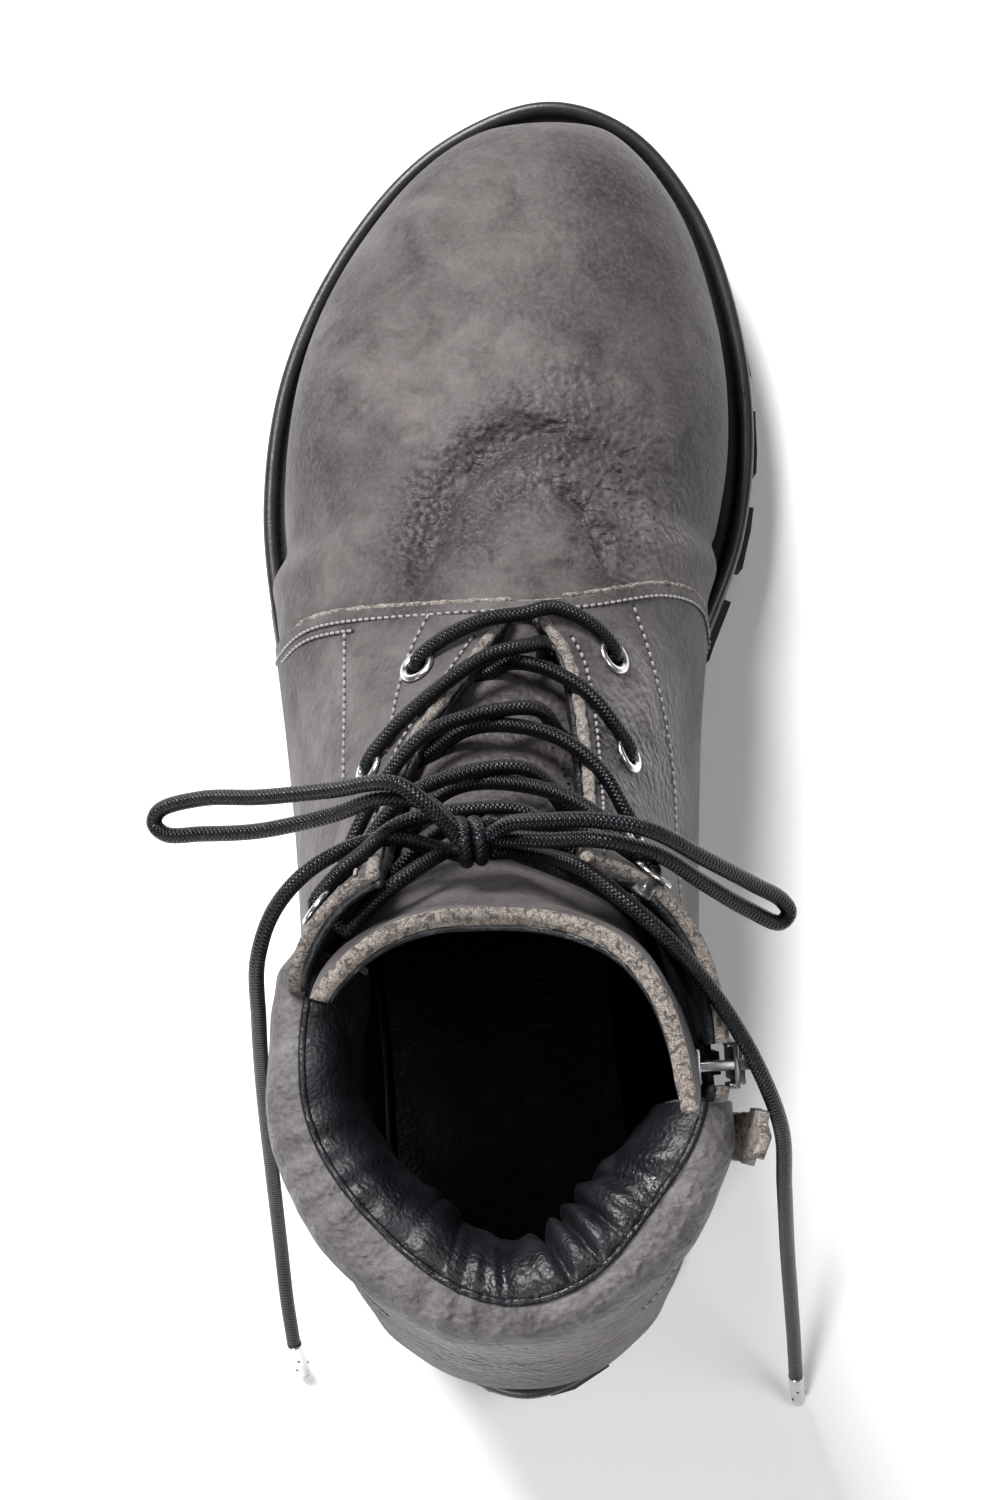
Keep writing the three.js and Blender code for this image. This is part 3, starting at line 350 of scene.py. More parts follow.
camera_back = np.array([math.sin(CAMERA_SIDE), -math.sin(CAMERA_REAR), 0])
camera_back[2] = math.sqrt(1 - camera_back @ camera_back)
level_up = unit(np.array([0, 1, 0]) - camera_back * camera_back[1])
level_right = np.cross(level_up, camera_back)
camera_right = level_right * math.cos(CAMERA_ROLL) - level_up * math.sin(CAMERA_ROLL)
camera_up = level_right * math.sin(CAMERA_ROLL) + level_up * math.cos(CAMERA_ROLL)
camera_eye = CAMERA_TARGET + camera_back * CAMERA_DISTANCE


def in_photo(points):
    """Where points of the boot lie in the photograph, in its pixels."""
    seen = np.asarray(points, float) - camera_eye
    depth = -seen @ camera_back
    across = PHOTO_WIDTH / 2 + CAMERA_FOCAL * (seen @ camera_right) / depth
    down = PHOTO_HEIGHT / 2 - CAMERA_FOCAL * (seen @ camera_up) / depth
    return np.stack([across, down], -1)


def sight(across, down):
    """Direction in which the camera sees a spot of the photograph."""
    ray = camera_right * (across - PHOTO_WIDTH / 2) + camera_up * (PHOTO_HEIGHT / 2 - down)
    return unit(ray / CAMERA_FOCAL - camera_back)


def bvh_of(*pieces):
    """Faces of pieces as one tree for rays, in millimetres."""
    points, faces = [], []
    for piece in pieces:
        start = len(points)
        points += [v.co / MM for v in piece.data.vertices]
        faces += [[start + k for k in face.vertices] for face in piece.data.polygons]
    return BVHTree.FromPolygons(points, faces)


scene = bpy.context.scene
lens = bpy.data.cameras.new("photo_camera")
lens.sensor_fit = "VERTICAL"
lens.sensor_height = 36
lens.lens = 36 * CAMERA_FOCAL / PHOTO_HEIGHT
lens.clip_start = 0.05
lens.dof.use_dof = False
camera = bpy.data.objects.new("photo_camera", lens)
turned = Matrix((camera_right, camera_up, camera_back)).transposed().to_4x4()
camera.matrix_world = Matrix.Translation(Vector(camera_eye * MM)) @ turned
scene.collection.objects.link(camera)
scene.camera = camera


# Zones of the leather, each with its reach in millimetres. A spot is a pixel of the photo,
# with a height in millimetres where it isn't on the upper. A place is in millimetres on the boot.
# Where the leather bends and its grain gathers
GATHERED_SPOTS = [((442, 515), 22), ((497, 468), 24), ((566, 453), 26), ((619, 498), 27)]
GATHERED_PLACES = [((13, 98, 118), 35), ((-2, -30, 100), 50), ((35, 100, 90), 30)]
# Painted shade, with some darker leather: the trough behind the toes, patches at the sides where they turn
# from the light, the throat and the heel
PAINTED_SHADE_SPOTS = [
    ((414, 600), 15), ((426, 548), 17), ((442, 503), 18), ((474, 460), 19), ((516, 434), 19),
    ((566, 427), 18), ((576, 504), 9), ((598, 535), 11), ((612, 575), 12), ((620, 180), 26),
    ((700, 450), 26), ((710, 520), 28),
    ((300, 430), 26), ((320, 330), 26), ((640, 260), 18), ((420, 150, 46), 22), ((500, 95, 40), 26),
    ((560, 660, 110), 20), ((600, 760, 118), 20),
]
PAINTED_SHADE_PLACES = [((-40, 120, 50), 24), ((46, 120, 50), 30), ((40, 70, 60), 30), ((0, -35, 45), 28)]
# Painted highlight: the lit outer shoulder of the toes, the middle, and the ankle's sides
PAINTED_HIGHLIGHT_SPOTS = [((367, 386), 18), ((426, 421), 14), ((485, 350), 18), ((330, 330), 14), ((530, 535), 8),
                 ((560, 380), 12), ((340, 700), 18), ((640, 690), 14)]
PAINTED_HIGHLIGHT_PLACES = [((36, 60, 120), 20), ((-36, 0, 130), 20)]
cad_upper = bvh_of(nodes["upper"])


def zone(spots, places):
    """Places and reaches in metres, with the spots followed from the camera to where they lie."""
    found = []
    for (across, down, *height), reach in spots:
        ray = sight(across, down)
        if height:
            found.append((camera_eye + ray * (height[0] - camera_eye[2]) / ray[2], reach))
        else:
            found.append((cad_upper.ray_cast(Vector(camera_eye), Vector(ray))[0], reach))
    return [((np.array(place, float) * MM).tolist(), reach * MM) for place, reach in found + places]


GATHERED = zone(GATHERED_SPOTS, GATHERED_PLACES)
PAINTED_SHADE = zone(PAINTED_SHADE_SPOTS, PAINTED_SHADE_PLACES)
PAINTED_HIGHLIGHT = zone(PAINTED_HIGHLIGHT_SPOTS, PAINTED_HIGHLIGHT_PLACES)


# Materials
class Look:
    """A material's shader, with short calls for the nodes used here."""

    def __init__(self, name, color, roughness, metallic=0.0, specular=0.5):
        self.material = bpy.data.materials.new(name)
        self.material.use_nodes = True
        self.tree = self.material.node_tree
        self.shader = self.tree.nodes["Principled BSDF"]
        self.set(self.shader, {"Base Color": (*color, 1), "Roughness": roughness, "Metallic": metallic,
                               "Specular IOR Level": specular})
        self.place = None
        self.height = None

    def set(self, node, values):
        for name, value in values.items():
            if isinstance(value, bpy.types.NodeSocket):
                self.tree.links.new(value, node.inputs[name])
            else:
                node.inputs[name].default_value = value

    def node(self, kind, values=None, **settings):
        made = self.tree.nodes.new("ShaderNode" + kind)
        for name, value in settings.items():
            setattr(made, name, value)
        self.set(made, values or {})
        return made

    def where(self, scale=(1, 1, 1)):
        """The boot's own coordinates in metres, stretched by a scale."""
        if self.place is None:
            self.place = self.node("TexCoord").outputs["Object"]
        if tuple(scale) == (1, 1, 1):
            return self.place
        return self.node("Mapping", {"Vector": self.place, "Scale": scale}).outputs["Vector"]

    def noise(self, scale, detail=3, rough=0.55, stretch=(1, 1, 1), distortion=0.0, vector=None):
        values = {"Vector": vector or self.where(stretch), "Scale": scale, "Detail": detail,
                  "Roughness": rough, "Distortion": distortion}
        return self.node("TexNoise", values).outputs["Fac"]

    def cells(self, scale, feature="F1", stretch=(1, 1, 1), vector=None):
        values = {"Vector": vector or self.where(stretch), "Scale": scale}
        return self.node("TexVoronoi", values, feature=feature).outputs["Distance"]

    def bent(self, amount, scale):
        """Coordinates shaken by noise, so that cells lose their even shape."""
        shake = self.node("TexNoise", {"Vector": self.where(), "Scale": scale, "Detail": 2}).outputs["Color"]
        shift = self.node("VectorMath", {0: shake, "Scale": amount}, operation="SCALE").outputs["Vector"]
        return self.node("VectorMath", {0: self.where(), 1: shift}, operation="ADD").outputs["Vector"]

    def zones(self, places, least):
        """1 near the places of a zone, fading to the least elsewhere."""
        total = None
        for place, reach in places:
            away = self.node("VectorMath", {0: self.where(), 1: place}, operation="DISTANCE").outputs["Value"]
            near = self.ramp(away, reach, 0.3 * reach)
            total = near if total is None else self.math("MAXIMUM", total, near)
        return self.math("ADD", self.math("MULTIPLY", total, 1 - least), least)

    def ramp(self, value, low, high, to_low=0.0, to_high=1.0):
        values = {"Value": value, "From Min": low, "From Max": high, "To Min": to_low, "To Max": to_high}
        return self.node("MapRange", values).outputs["Result"]

    def math(self, operation, a, b=0.0):
        made = self.node("Math", operation=operation)
        for socket, value in zip(made.inputs, (a, b)):
            if isinstance(value, bpy.types.NodeSocket):
                self.tree.links.new(value, socket)
            else:
                socket.default_value = value
        return made.outputs["Value"]

    def mix(self, share, a, b):
        made = self.node("Mix", data_type="RGBA")
        for index, value in ((0, share), (6, a), (7, b)):
            if isinstance(value, bpy.types.NodeSocket):
                self.tree.links.new(value, made.inputs[index])
            else:
                made.inputs[index].default_value = (*value, 1) if index else value
        return made.outputs[2]

    def bump(self, height, distance, strength=1.0):
        values = {"Height": height, "Distance": distance, "Strength": strength}
        if self.height:
            values["Normal"] = self.height
        self.height = self.node("Bump", values).outputs["Normal"]
        self.set(self.shader, {"Normal": self.height})


def nubuck_look(name, dark, light, blotch_and_shade, least):
    """Brushed leather: mottled nap, darker blotches, painted shade and painted highlights in their zones,
    fine pores and a soft sheen.
    """
    look = Look(name, light, 0.7, specular=0.22)
    mottle = look.noise(75, 5, 0.62, distortion=0.6)
    broad = look.noise(22, 3, 0.5)
    fine = look.noise(900, 3, 0.65)
    pores = look.cells(1500)
    color = look.mix(look.ramp(mottle, 0.34, 0.68), dark, light)
    color = look.mix(look.ramp(broad, 0.5, 0.68, 0, 0.62), color, blotch_and_shade)
    uneven = look.ramp(look.noise(60, 4, 0.6, distortion=0.8), 0.25, 0.6, 0.45, 1)
    # Painted shade: in the shade zones the colour is pulled towards the darkest tone.
    shade = look.math("MULTIPLY", look.zones(PAINTED_SHADE, 0), uneven)
    color = look.mix(look.math("MULTIPLY", shade, 0.85), color, blotch_and_shade)
    # Painted highlight: in the highlight zones the colour is lifted lighter, patchily.
    uneven = look.ramp(look.noise(110, 5, 0.7, distortion=1), 0.4, 0.72, 0.05, 0.6)
    painted_highlight_mask = look.math("MULTIPLY", look.zones(PAINTED_HIGHLIGHT, 0), uneven)
    color = look.mix(painted_highlight_mask, color, scaled(light, 1.6))
    color = look.mix(look.ramp(fine, 0.42, 0.75, 0, 0.38), color, scaled(light, 1.35))
    color = look.mix(look.ramp(pores, 0.0, 0.32, 0.5, 0), color, scaled(dark, 0.5))
    gathered = look.zones(GATHERED, least)
    look.set(look.shader, {"Base Color": color, "Roughness": look.ramp(gathered, least, 1, 0.68, 0.46),
                           "Sheen Weight": 0.06, "Sheen Roughness": 0.5})
    look.bump(look.noise(150, 5, 0.6, distortion=0.3), 0.0006, 0.6)
    pebbles = look.math("MULTIPLY", look.cells(620, "SMOOTH_F1", vector=look.bent(0.0014, 260)), gathered)
    look.bump(look.math("MULTIPLY", pebbles, -1), 0.0012, 1.0)
    creased = look.math("MULTIPLY", look.noise(260, 3, 0.5, stretch=(0.8, 1.25, 1), distortion=0.5), gathered)
    look.bump(creased, 0.0013, 1.0)
    look.bump(fine, 0.00022, 0.7)
    return look.material


def raw_edge_look(name, dark, light):
    """Cut leather edge: fibres, lighter than the face."""
    look = Look(name, light, 0.92, specular=0.15)
    fibres = look.noise(1900, 4, 0.75, distortion=1.5)
    lumps = look.noise(700, 3, 0.65, distortion=1.0)
    color = look.mix(look.ramp(fibres, 0.42, 0.58), dark, light)
    color = look.mix(look.ramp(lumps, 0.5, 0.6, 0, 0.85), color, scaled(dark, 0.3))
    look.set(look.shader, {"Base Color": color, "Sheen Weight": 0.2})
    look.bump(lumps, 0.0014, 1.0)
    look.bump(fibres, 0.0009, 1.0)
    return look.material


def lining_look(name, color):
    """Smooth black lining leather with a pebbled grain and a gloss that wears unevenly."""
    look = Look(name, color, 0.42, specular=0.45)
    grain = look.cells(1150, "SMOOTH_F1")
    wear = look.noise(60, 4, 0.6, distortion=0.5)
    mixed = look.mix(look.ramp(wear, 0.45, 0.75), color, scaled(color, 2.2))
    look.set(look.shader, {"Base Color": mixed, "Roughness": look.ramp(wear, 0.3, 0.7, 0.34, 0.6)})
    look.bump(look.noise(110, 5, 0.65, distortion=0.9), 0.0016, 0.5)
    look.bump(grain, 0.0003, 0.7)
    return look.material


def rubber_look(name, color, roughness):
    look = Look(name, color, roughness, specular=0.45)
    dust = look.noise(90, 5, 0.65)
    streak = look.noise(40, 4, 0.6, stretch=(1, 1, 6))
    mixed = look.mix(look.ramp(dust, 0.5, 0.8, 0, 0.55), color, scaled(color, 2.6))
    look.set(look.shader, {"Base Color": mixed,
                           "Roughness": look.ramp(streak, 0.3, 0.7, roughness - 0.09, roughness + 0.12)})
    look.bump(look.noise(1300, 3, 0.6), 0.00009, 0.6)
    look.bump(look.noise(220, 3, 0.6), 0.00025, 0.35)
    return look.material


def braid_look(name, color, light, turns):
    """Round braid: strands crossing both ways, laid out on the tube's own coordinates."""
    look = Look(name, color, 0.3, specular=0.24)
    split = look.node("SeparateXYZ", {"Vector": look.node("TexCoord").outputs["UV"]})
    along, around = split.outputs["X"], split.outputs["Y"]
    lift = []
    for sign in (1, -1):
        around_it = look.math("MULTIPLY", around, sign * turns)
        slant = look.math("ADD", look.math("MULTIPLY", along, 3.4), around_it)
        wave = look.math("SINE", look.math("MULTIPLY", slant, math.pi))
        lift.append(look.math("ABSOLUTE", wave))
    braid = look.math("MULTIPLY", look.math("POWER", lift[0], 0.7), look.math("POWER", lift[1], 0.7))
    fuzz = look.noise(2600, 2, 0.6)
    # Painted shade: the braid's grooves between strands are darkened to a third.
    color_mix = look.mix(look.ramp(braid, 0.2, 0.9), scaled(color, 0.35), color)
    color_mix = look.mix(look.ramp(look.noise(260, 3, 0.6), 0.5, 0.78, 0, 0.7), color_mix, light)
    look.set(look.shader, {"Base Color": color_mix, "Roughness": look.ramp(fuzz, 0.3, 0.7, 0.24, 0.42)})
    look.bump(braid, 0.0002, 0.8)
    look.bump(fuzz, 0.00008, 0.5)
    return look.material


def metal_look(name, color, roughness, wear):
    look = Look(name, color, roughness, metallic=1.0)
    scratch = look.noise(500, 4, 0.7, stretch=(1, 1, 4))
    smudge = look.noise(160, 3, 0.5)
    look.set(look.shader, {
        "Base Color": look.mix(look.ramp(smudge, 0.4, 0.75), color, scaled(color, wear)),
        "Roughness": look.ramp(scratch, 0.3, 0.75, roughness - 0.06, roughness + 0.16)})
    look.bump(look.noise(700, 3, 0.6), 0.00006, 0.6)
    return look.material


def thread_look(name, color):
    look = Look(name, color, 0.6, specular=0.3)
    twist = look.noise(3000, 2, 0.5)
    look.set(look.shader, {"Base Color": look.mix(look.ramp(twist, 0.35, 0.7), scaled(color, 0.5), color)})
    look.bump(twist, 0.0001, 0.6)
    return look.material


def weave_look(name, color):
    look = Look(name, color, 0.75, specular=0.25)
    rib = look.node("TexWave", {"Vector": look.where(), "Scale": 420, "Distortion": 0.4}, bands_direction="Z")
    rib = rib.outputs["Fac"]
    # Painted shade: the grooves between the ribs are darkened to half.
    look.set(look.shader, {"Base Color": look.mix(rib, scaled(color, 0.5), color)})
    look.bump(rib, 0.0002, 0.7)
    return look.material


NUBUCK_DARK = (0.038, 0.0325, 0.032)
NUBUCK_LIGHT = (0.1, 0.087, 0.0865)
# The darkest tone serves both the leather's random blotches and the painted shade.
NUBUCK_BLOTCH_AND_SHADE = (0.018, 0.0145, 0.015)
nubuck = nubuck_look("nubuck", NUBUCK_DARK, NUBUCK_LIGHT, NUBUCK_BLOTCH_AND_SHADE, 0.14)
collar_nubuck = nubuck_look("collar_nubuck", (0.058, 0.053, 0.052), (0.152, 0.143, 0.142),
                            (0.036, 0.032, 0.032), 0.6)
raw_edge = raw_edge_look("raw_edge", (0.2, 0.165, 0.145), (0.58, 0.51, 0.46))
lining = lining_look("lining_leather", (0.0035, 0.0036, 0.0055))
sole_rubber = rubber_look("sole_rubber", (0.016, 0.016, 0.017), 0.6)
rim_rubber = rubber_look("rim_rubber", (0.014, 0.014, 0.0145), 0.36)
lace_braid = braid_look("lace_braid", (0.0022, 0.0024, 0.004), (0.007, 0.0075, 0.011), 4)
nickel = metal_look("nickel", (0.62, 0.62, 0.61), 0.24, 0.75)
dark_nickel = metal_look("dark_nickel", (0.3, 0.3, 0.31), 0.3, 0.55)
thread = thread_look("thread", (0.34, 0.32, 0.34))
# Near-black for the stitch holes and the dots on the lace tips: painted shade inside holes.
hole_shade = thread_look("hole_shade", (0.01, 0.009, 0.009))
tape_weave = weave_look("tape_weave", (0.012, 0.012, 0.014))
insole_leather = lining_look("insole_leather", (0.0022, 0.0022, 0.0026))


# Meshes
def mesh_piece(name, points, faces, looks, face_looks=None, smooth_shade=True, uvs=None):
    """A mesh object from points in millimetres."""
    mesh = bpy.data.meshes.new(name)
    mesh.from_pydata((np.asarray(points, float) * MM).tolist(), [], faces)
    for look in looks:
        mesh.materials.append(look)
    if face_looks is not None:
        mesh.polygons.foreach_set("material_index", np.asarray(face_looks, np.int32))
    mesh.polygons.foreach_set("use_smooth", [smooth_shade] * len(mesh.polygons))
    if uvs is not None:
        layer = mesh.uv_layers.new(name="UVMap")
        layer.data.foreach_set("uv", np.asarray(uvs, np.float32).ravel())
    mesh.update()
    piece = bpy.data.objects.new(name, mesh)
    scene.collection.objects.link(piece)
    return piece


def grid_faces(rows, columns, wrap=False, start=0, flip=False):
    """Quads of a rows x columns grid of points."""
    i, j = np.meshgrid(np.arange(rows - 1), np.arange(columns if wrap else columns - 1), indexing="ij")
    k = (j + 1) % columns
    quads = np.stack([i * columns + j, i * columns + k, (i + 1) * columns + k, (i + 1) * columns + j], -1)
    quads = quads.reshape(-1, 4) + start
    return (quads[:, ::-1] if flip else quads).tolist()


def ring_faces(rows, columns):
    """Quads of a grid closed on itself both ways."""
    count = rows * columns
    return [[corner % count for corner in face] for face in grid_faces(rows + 1, columns, wrap=True)]


def turned_out(piece):
    """Faces turned outwards on a closed piece."""
    made = bmesh.new()
    made.from_mesh(piece.data)
    bmesh.ops.recalc_face_normals(made, faces=made.faces)
    made.to_mesh(piece.data)
    made.free()
    return piece


def loft_piece(name, loops, looks, face_looks=None):
    """A closed piece through loops of points, with an end face on the first and last."""
    loops = np.asarray(loops, float)
    rows, columns = loops.shape[:2]
    faces = grid_faces(rows, columns, wrap=True)
    middle_a, middle_b = loops[0].mean(0), loops[-1].mean(0)
    points = np.concatenate([loops.reshape(-1, 3), [middle_a, middle_b]])
    first, last = rows * columns, rows * columns + 1
    top = (rows - 1) * columns
    for j in range(columns):
        k = (j + 1) % columns
        faces.append([first, k, j])
        faces.append([last, top + j, top + k])
    if face_looks is not None:
        face_looks = list(face_looks) + [face_looks[0]] * (2 * columns)
    return turned_out(mesh_piece(name, points, faces, looks, face_looks))


def slab_piece(name, outside, inside, looks):
    """A closed sheet between two grids of points. looks: outside, rim, inside."""
    outside, inside = np.asarray(outside, float), np.asarray(inside, float)
    rows, columns = outside.shape[:2]
    count = rows * columns
    faces = grid_faces(rows, columns) + grid_faces(rows, columns, start=count, flip=True)
    kinds = [0] * (len(faces) // 2) + [2 % len(looks)] * (len(faces) // 2)
    border = [(i, 0) for i in range(rows)] + [(rows - 1, j) for j in range(1, columns)]
    border += [(i, columns - 1) for i in range(rows - 2, -1, -1)]
    border += [(0, j) for j in range(columns - 2, 0, -1)]
    ring = [i * columns + j for i, j in border]
    for a, b in zip(ring, ring[1:] + ring[:1]):
        faces.append([a, b, b + count, a + count])
        kinds.append(1 % len(looks))
    points = np.concatenate([outside.reshape(-1, 3), inside.reshape(-1, 3)])
    return turned_out(mesh_piece(name, points, faces, looks, kinds))


def frames_along(path, first_up=(0, 0, 1)):
    """Two directions across a path at each of its points, without twist."""
    tangent = unit(np.gradient(path, axis=0))
    up = np.asarray(first_up, float)
    if abs(tangent[0] @ up) > 0.95:
        up = np.array([0, 1.0, 0])
    side = unit(np.cross(tangent[0], up))
    sides = []
    for t in tangent:
        side = unit(side - t * (side @ t))
        sides.append(side)
    sides = np.array(sides)
    return sides, np.cross(tangent, sides)


def tube_piece(name, path, radius, look, sides=16, rounded=True, uv_pitch=None):
    """A round cord along a path. The end rings shrink to close it."""
    path = np.asarray(path, float)
    side, up = frames_along(path)
    radius = np.broadcast_to(np.asarray(radius, float), len(path)).copy()
    if rounded:
        tangent = unit(np.gradient(path, axis=0))
        caps = [(math.sin(t), math.cos(t)) for t in np.linspace(0.15, math.pi / 2, 4)]
        head = [(path[0] - tangent[0] * radius[0] * c, radius[0] * s, 0) for s, c in caps]
        tail = [(path[-1] + tangent[-1] * radius[-1] * c, radius[-1] * s, -1) for s, c in caps[::-1]]
        path = np.concatenate([[p for p, _, _ in head], path, [p for p, _, _ in tail]])
        radius = np.concatenate([[r for _, r, _ in head], radius, [r for _, r, _ in tail]])
        side = np.concatenate([[side[0]] * 4, side, [side[-1]] * 4])
        up = np.concatenate([[up[0]] * 4, up, [up[-1]] * 4])
    turn = full_turn(sides)
    ring = side[:, None] * np.cos(turn)[:, None] + up[:, None] * np.sin(turn)[:, None]
    points = path[:, None] + radius[:, None, None] * ring
    rows = len(path)
    faces = grid_faces(rows, sides, wrap=True, flip=True)
    travelled = travel(path)
    travelled = travelled / (uv_pitch or 2 * np.median(radius))
    i, j = np.meshgrid(np.arange(rows - 1), np.arange(sides), indexing="ij")
    corners = [(i, j), (i, j + 1), (i + 1, j + 1), (i + 1, j)][::-1]
    uvs = np.stack([np.stack([travelled[a], b / sides], -1) for a, b in corners], 2).reshape(-1, 2)
    faces.append(list(range(sides)))
    faces.append([(rows - 1) * sides + j for j in range(sides)][::-1])
    uvs = np.concatenate([uvs, np.zeros((2 * sides, 2))])
    return turned_out(mesh_piece(name, points.reshape(-1, 3), faces, [look], uvs=uvs))


def joined(name, pieces):
    """Several pieces made into one mesh."""
    target = pieces[0]
    with bpy.context.temp_override(active_object=target, selected_editable_objects=pieces):
        bpy.ops.object.join()
    target.name = name
    target.data.name = name
    return target


def cut(piece, cutter, operation="DIFFERENCE"):
    """A boolean between two closed pieces. The cutter's look stays on the cut, and the cutter goes."""
    tool = piece.modifiers.new("cut", "BOOLEAN")
    tool.operation = operation
    tool.solver = "MANIFOLD"
    tool.object = cutter
    tool.material_mode = "TRANSFER"
    drawn = piece.evaluated_get(bpy.context.evaluated_depsgraph_get())
    mesh = bpy.data.meshes.new_from_object(drawn)
    piece.modifiers.clear()
    old = piece.data
    piece.data = mesh
    bpy.data.meshes.remove(old)
    bpy.data.objects.remove(cutter)
    return piece


def dressed(piece, slot, *replaced, body=BODY):
    """Attach a piece to the body it rides on and hide the CAD nodes it stands for. The slot is not used."""
    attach(piece, body)
    if replaced:
        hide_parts(*replaced)
    return piece


# The parts kept from the CAD as they are get their looks
for kept, look in (("outsole", sole_rubber), ("insole", insole_leather)):
    nodes[kept].data.materials.clear()
    nodes[kept].data.materials.append(look)

# Floor and light
floor_look = Look("pale_floor", (0.93, 0.93, 0.935), 0.7, specular=0.2)
floor_look.set(floor_look.shader, {"Base Color": floor_look.mix(
    floor_look.noise(3, 3, 0.5), (0.92, 0.92, 0.925), (0.945, 0.945, 0.945))})
FLOOR_REACH = 1500
floor = mesh_piece("floor", [(-FLOOR_REACH, -FLOOR_REACH, -0.05), (FLOOR_REACH, -FLOOR_REACH, -0.05),
                             (FLOOR_REACH, FLOOR_REACH, -0.05), (-FLOOR_REACH, FLOOR_REACH, -0.05)],
                   [(0, 1, 2, 3)], [floor_look.material])

world = bpy.data.worlds.new("studio")
world.use_nodes = True
world.node_tree.nodes["Background"].inputs["Color"].default_value = (0.97, 0.985, 1, 1)
world.node_tree.nodes["Background"].inputs["Strength"].default_value = 0.13
scene.world = world
scene.view_settings.view_transform = "Standard"


def soft_light(name, place, size, power, aim=(0, 0.1, 0.06)):
    data = bpy.data.lights.new(name, "AREA")
    data.shape = "DISK"
    data.size = size
    data.energy = power
    light = bpy.data.objects.new(name, data)
    light.location = place
    light.rotation_euler = (Vector(aim) - Vector(place)).to_track_quat("-Z", "Y").to_euler()
    scene.collection.objects.link(light)


soft_light("key", (-0.38, 0.8, 1.05), 0.5, 33)
soft_light("fill", (0.6, 0.0, 1.1), 0.5, 4)
soft_light("rear", (-0.35, -0.75, 0.8), 0.35, 8)


# Free lace: the CAD's routes
KNOT = np.array([-3.7, 70.8, 161])
LOOP_OUTER = [(-6.5, 71.2, 164.8), (-11.5, 76.6, 168.4), (-18, 81.2, 169), (-31, 81.4, 161.5),
              (-45, 81.6, 154), (-57.5, 82.7, 147), (-66.5, 81.2, 142), (-67.6, 78.9, 140.6),
              (-65.5, 76.8, 140.5), (-58, 76.2, 143.5), (-46, 75.7, 149), (-31.5, 77.2, 157),
              (-20, 79.2, 164.8), (-12, 77.8, 164.8), (-7, 73.2, 161)]
LOOP_INNER = [(0.5, 71.8, 165.4), (4, 73, 168.6), (10, 72.8, 172), (20, 72.2, 175), (30, 70.4, 172.6),
              (40, 66, 163.6), (50, 62, 151), (55.5, 59.6, 144), (56.8, 57.4, 141.6), (55.2, 55.6, 141.4),
              (48.6, 57.8, 147.4), (40.6, 61.6, 157), (31, 66.6, 167.2), (20, 68.8, 172.6), (11, 69.4, 169.6),
              (4.6, 70.4, 165.2), (-0.2, 71, 161.4)]
END_OUTER = [(-7.2, 69, 157.4), (-11.2, 70.4, 155.8), (-19, 72.6, 155.2), (-27, 71.5, 154.5),
             (-36.1, 67.2, 152.5), (-43.2, 60.5, 148), (-47.5, 51.9, 140), (-49.3, 40.9, 123),
              (-51.2, 28.8, 98), (-52.8, 12.8, 66),
             (-53.8, -2.2, 40), (-54.1, -14.2, 24.5), (-53.9, -23.5, 12.6)]
END_INNER = [(-0.2, 69, 157.4), (3.6, 69, 158.4), (10, 67.2, 163.5), (17.5, 63.4, 172.2), (24, 57.8, 174),
             (29.5, 53, 172.5), (34.2, 48.3, 170), (38.8, 43.2, 165.5), (44.4, 35.4, 160), (49.6, 26, 153.4),
             (53.8, 15.8, 140), (54.8, 5.3, 120), (56.2, -6.8, 88), (57.7, -17, 60), (59, -25.8, 35),
             (60, -33.5, 13)]
TIP_OUTER = (-52.5, -30.7, 1.2)
TIP_INNER = (61, -39.9, 1.2)
PATH_POINTS = 36


def free_cord(name, route, node, tip=None):
    """One stretch of free lace, with its metal tip."""
    fine = catmull(route, 260)
    piece = tube_piece(name, fine, LACE / 2, lace_braid, sides=18)
    if tip is not None:
        start, end = fine[-1], np.array(tip)
        out = unit(end - start)
        length = np.linalg.norm(end - start)
        shares = np.array([0, 0.02, 0.05, 0.5, 0.9, 0.97, 1.0])
        widths = np.array([1.2, 1.72, 1.78, 1.68, 1.6, 1.35, 0.9]) * LACE / 3.2
        middle = start + out * (shares * length)[:, None]
        tip_name = name.replace("lace_end", "lace_tip")
        metal = tube_piece(tip_name, middle, widths, nickel, sides=20, rounded=False)
        # The tip's dots are near-black: painted shade in small holes.
        dots = []
        side, up = frames_along(np.array([start, end]))
        for k in range(6):
            turn = 2.4 * k
            around = side[0] * math.cos(turn) + up[0] * math.sin(turn)
            at = start + out * length * (0.2 + 0.11 * k) + around * 1.66
            ends = np.array([at - around * 0.2, at + around * 0.1])
            dots.append(tube_piece("dot", ends, 0.3, hole_shade, 8, False))
        metal = joined(tip_name, [metal, *dots])
        dressed(metal, "eyelet_metal", node.replace("lace_end", "aglet"))
    dressed(piece, "lace_cotton", node)
    path = resample(fine, PATH_POINTS)
    length = float(np.linalg.norm(np.diff(path, axis=0), axis=1).sum()) * MM
    return piece


free_cord("free_lace_loop_outer", LOOP_OUTER, "lace_loop_outer")
free_cord("free_lace_loop_inner", LOOP_INNER, "lace_loop_inner")
free_cord("free_lace_end_outer", END_OUTER, "lace_end_outer", TIP_OUTER)
free_cord("free_lace_end_inner", END_INNER, "lace_end_inner", TIP_INNER)


